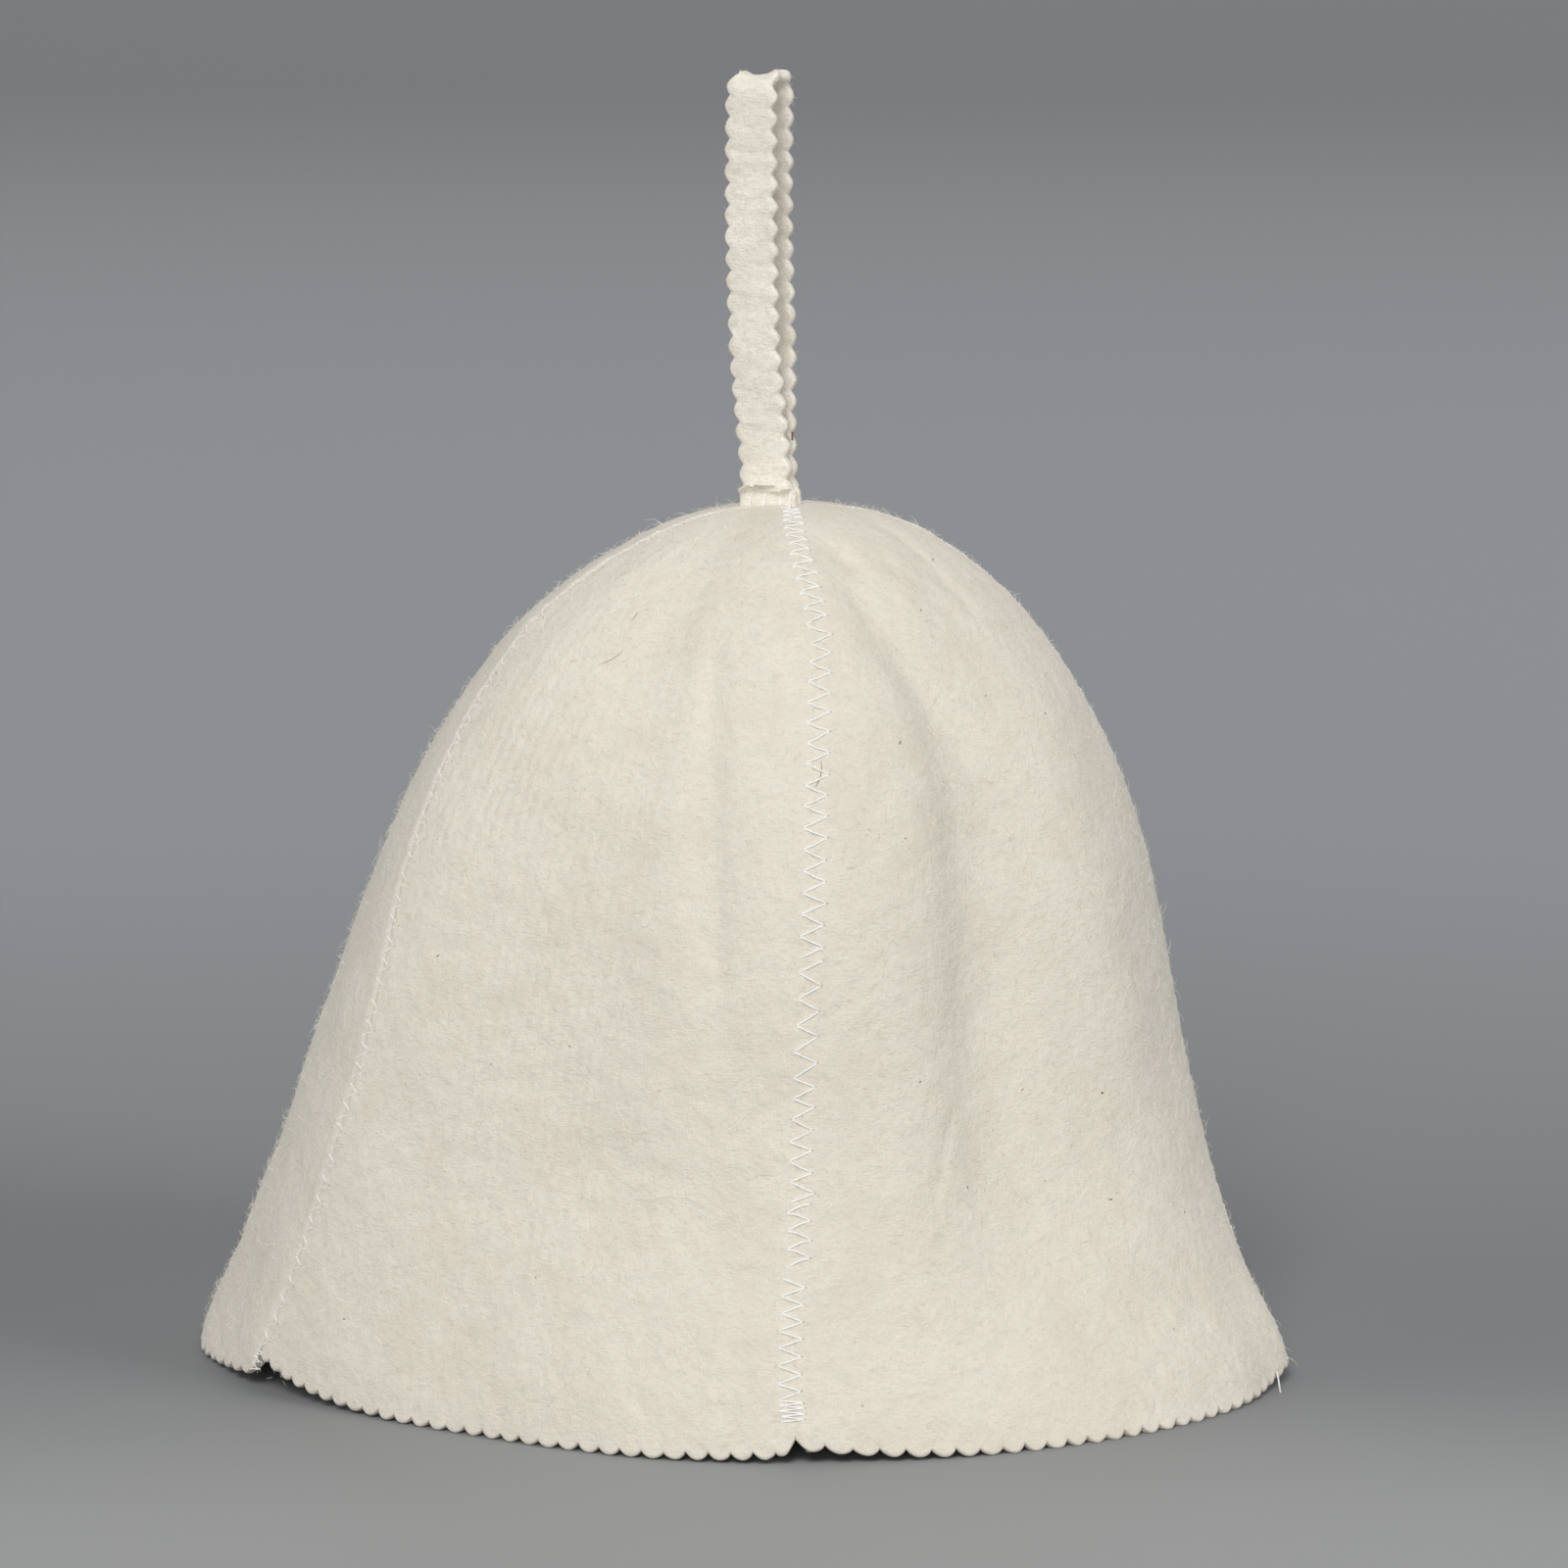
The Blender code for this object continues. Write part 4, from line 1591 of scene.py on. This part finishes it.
LAMPS = (
    Lamp(Aim.KEY, (-0.35, -1.6, 1.65), 27.0, 1.48, (1.0, 0.99, 0.975)),
    Lamp(Aim.RIGHT, (1.8, -1.0, 1.05), 25.0, 0.94, (1.0, 0.995, 0.985)),
    Lamp(Aim.LEFT, (-1.9, -0.6, 0.75), 32.0, 0.42, (0.985, 0.99, 1.0)),
    Lamp(Aim.LOW, (-0.2, -2.2, 0.30), 30.0, 0.83, (1.0, 0.99, 0.98)),
    Lamp(Aim.BACK, (0.4, 2.0, 0.80), 60.0, 0.45, (0.98, 0.99, 1.0)),
)


@dataclass
class Studio:
    """Pale floor, soft lamps, even surrounding light and the camera, whose place is in metres."""

    floor_radius: float = 20000.0
    floor_first_ring: float = 50.0
    floor_height: float = -0.05
    floor_rings: int = 25
    floor_spokes: int = 96
    floor_hub: float = 0.001
    camera_place: Spot = (0.01354, -1.49706, 0.3983)
    camera_tilt: float = 9.13
    lens: float = 128.25
    sensor: float = 36.0
    nearest: float = 0.05
    farthest: float = 60.0
    surround: Colour = (0.93, 0.97, 1.0, 1.0)
    surround_strength: float = 0.20

    def floor(self, maker: Maker) -> None:
        """A flat disc whose rings grow by an even ratio.

        Args:
            maker: Makes the floor's object.
        """
        rings, spokes = self.floor_rings, self.floor_spokes
        radius = np.geomspace(self.floor_first_ring, self.floor_radius, rings - 1)
        radius = np.concatenate([[self.floor_hub], radius])
        angle = np.arange(spokes) * TAU / spokes
        x = radius[:, None] * np.cos(angle) + BOX_CENTRE[0]
        y = radius[:, None] * np.sin(angle) + BOX_CENTRE[1]
        points = np.stack([x, y, np.full_like(x, self.floor_height)], axis=-1).reshape(-1, 3)
        index = np.arange(rings * spokes).reshape(rings, spokes)
        shape = Shape(points, [ring_faces(index), index[:1]])
        maker.mesh_object("floor", shape, FloorFinish().material())

    def lamps(self) -> None:
        """Hangs the soft lamps, each turned towards the hat."""
        for lamp in LAMPS:
            light = bpy.data.lights.new(f"lamp_{lamp.aim.value}", "SUN")
            light.angle = math.radians(lamp.spread)
            light.energy = lamp.power
            light.color = lamp.colour
            holder = bpy.data.objects.new(light.name, light)
            x, y, z = lamp.towards
            holder.rotation_euler = (math.atan2(math.hypot(x, y), z), 0.0, math.atan2(x, -y))
            bpy.context.scene.collection.objects.link(holder)

    def surroundings(self) -> None:
        """Even light from all round, and colours shown as they are."""
        bpy.context.scene.view_settings.view_transform = "Standard"
        world = bpy.data.worlds.new("studio")
        world.use_nodes = True
        background = world.node_tree.nodes["Background"]
        background.inputs["Color"].default_value = self.surround
        background.inputs["Strength"].default_value = self.surround_strength
        bpy.context.scene.world = world

    def camera(self) -> None:
        """The camera, looking along +Y and a little down."""
        data = bpy.data.cameras.new("camera")
        data.sensor_width = self.sensor
        data.lens = self.lens
        data.clip_start = self.nearest
        data.clip_end = self.farthest
        camera = bpy.data.objects.new("camera", data)
        camera.location = self.camera_place
        camera.rotation_euler = (math.radians(90.0 - self.camera_tilt), 0.0, 0.0)
        bpy.context.scene.collection.objects.link(camera)
        bpy.context.scene.camera = camera


# ---- The hat


GORES = (
    FeltGore("gore_front_left", "left", "front", 9.0, 2.0, 30, 10, 54, last_lift=2.4),
    FeltGore("gore_front_right", "front", "right", 4.0, 3.4, 28, 10, 54),
    FeltGore("gore_back_right", "right", "back_right", 2.5, 5.0, 30, 7, 34),
    FeltGore("gore_back", "back_right", "back_left", 5.0, 5.0, 28, 7, 34),
    FeltGore("gore_left", "back_left", "left", 5.0, 3.5, 28, 7, 34),
)
FRONT_TAIL = LooseThread(
    ((3.2, -111.0, 7.2), (3.0, -112.4, 5.0), (3.6, -112.6, 3.2), (3.9, -112.4, 1.4))
)
RIGHT_TAIL = LooseThread(
    ((149.6, -44.5, 4.6), (149.9, -46.1, 3.0), (150.1, -47.4, 1.2), (150.2, -49.8, 0.4))
)
DARK_HUSK = LooseThread(((19.5, -1.3, 251.2), (19.6, -1.4, 253.4)), 0.3)


@dataclass
class SaunaHat:
    """The whole hat, piece by piece."""

    maker: Maker = field(default_factory=Maker)
    first_seed: int = 41
    side_lift: float = 0.06
    short_fibres: int = 12800
    long_fibres: int = 700
    loop_fibres: int = 4200
    wool: FibreFinish = FibreFinish("loose_wool", (0.86, 0.82, 0.73, 1.0), (0.78, 0.73, 0.63, 1.0))
    dark: FibreFinish = FibreFinish("dark_fleck", (0.16, 0.10, 0.06, 1.0), (0.26, 0.17, 0.10, 1.0))
    # Painted shade: the dark colour of the needle holes.
    hole: FibreFinish = FibreFinish(
        "needle_hole_shade", (0.24, 0.195, 0.15, 1.0), (0.42, 0.36, 0.29, 1.0), 0.95
    )
    # Painted light: the strap is the crown's felt made paler, so that the loop shows brighter.
    strap: FeltFinish = FeltFinish("cream_strap_felt_painted_light", light=(0.93, 0.88, 0.785, 1.0))

    def gores(self) -> None:
        """The five panels. The two in front have the finest mesh."""
        felt = FeltFinish().material()
        for gore in GORES:
            self.maker.piece(f"felt_{gore.name}", gore.shape(), felt, "wool_felt", gore.name)

    def loop(self) -> Shape:
        """The hanging loop.

        Returns:
            Its shape, for the fuzz.
        """
        shape = HangingLoop().shape()
        material = self.strap.material()
        self.maker.piece("felt_hanging_loop", shape, material, "strap_felt", "hanging_loop")
        return shape

    def stitching(self) -> None:
        """Threads of the five seams with the painted shade of their needle holes, the loose ends and
        the loop's foot.
        """
        seams = [SeamStitching("front", FRONT_RUNS, self.first_seed)]
        for seed, seam in enumerate(SEAMS[1:], self.first_seed + 1):
            seams.append(SeamStitching(seam, SIDE_RUNS, seed, lift=self.side_lift))
        thread = ThreadFinish().material()
        self.maker.piece("seam_threads", Shape.joined([seam.threads() for seam in seams]), thread)
        # Dark ovals as painted shade in the needle holes.
        holes = Shape.joined([seam.holes() for seam in seams])
        self.maker.piece("needle_hole_shades", holes, self.hole.material())
        tails = Shape.joined([FRONT_TAIL.shape(), RIGHT_TAIL.shape()])
        self.maker.piece("thread_tails", tails, thread)
        self.maker.piece("foot_stitches", HangingLoop().foot_stitches(), thread)

    def fuzz(self, loop: Shape) -> None:
        """Wool ends over the crown and the loop, and the dark flecks.

        Args:
            loop: The hanging loop's shape.
        """
        wool, fuzz = self.wool.material(), Fuzz()
        short = fuzz.over_crown(self.short_fibres, (0.8, 2.8), (0.5, 1.5), 1)
        long = fuzz.over_crown(self.long_fibres, (3.0, 7.0), (0.6, 2.8), 2)
        self.maker.piece("crown_fuzz", Shape.joined([short, long]), wool)
        over_loop = fuzz.over_shape(loop, self.loop_fibres, (0.6, 2.0), 3)
        self.maker.piece("loop_fuzz", over_loop, wool)
        flecks = Shape.joined([FleckScatter().shape(), DARK_HUSK.shape()])
        self.maker.piece("felt_flecks", flecks, self.dark.material())


def main() -> None:
    """Builds the studio and the hat in order, and keeps their sizes."""
    logging.basicConfig(level=logging.INFO, format="%(name)s: %(message)s")
    hat = SaunaHat()
    studio = Studio()
    studio.camera()
    studio.surroundings()
    studio.lamps()
    studio.floor(hat.maker)
    hat.gores()
    loop = hat.loop()
    hat.stitching()
    hat.fuzz(loop)
    LOG.info("total: %d triangles", hat.maker.triangles)


if __name__ == "__main__":
    main()
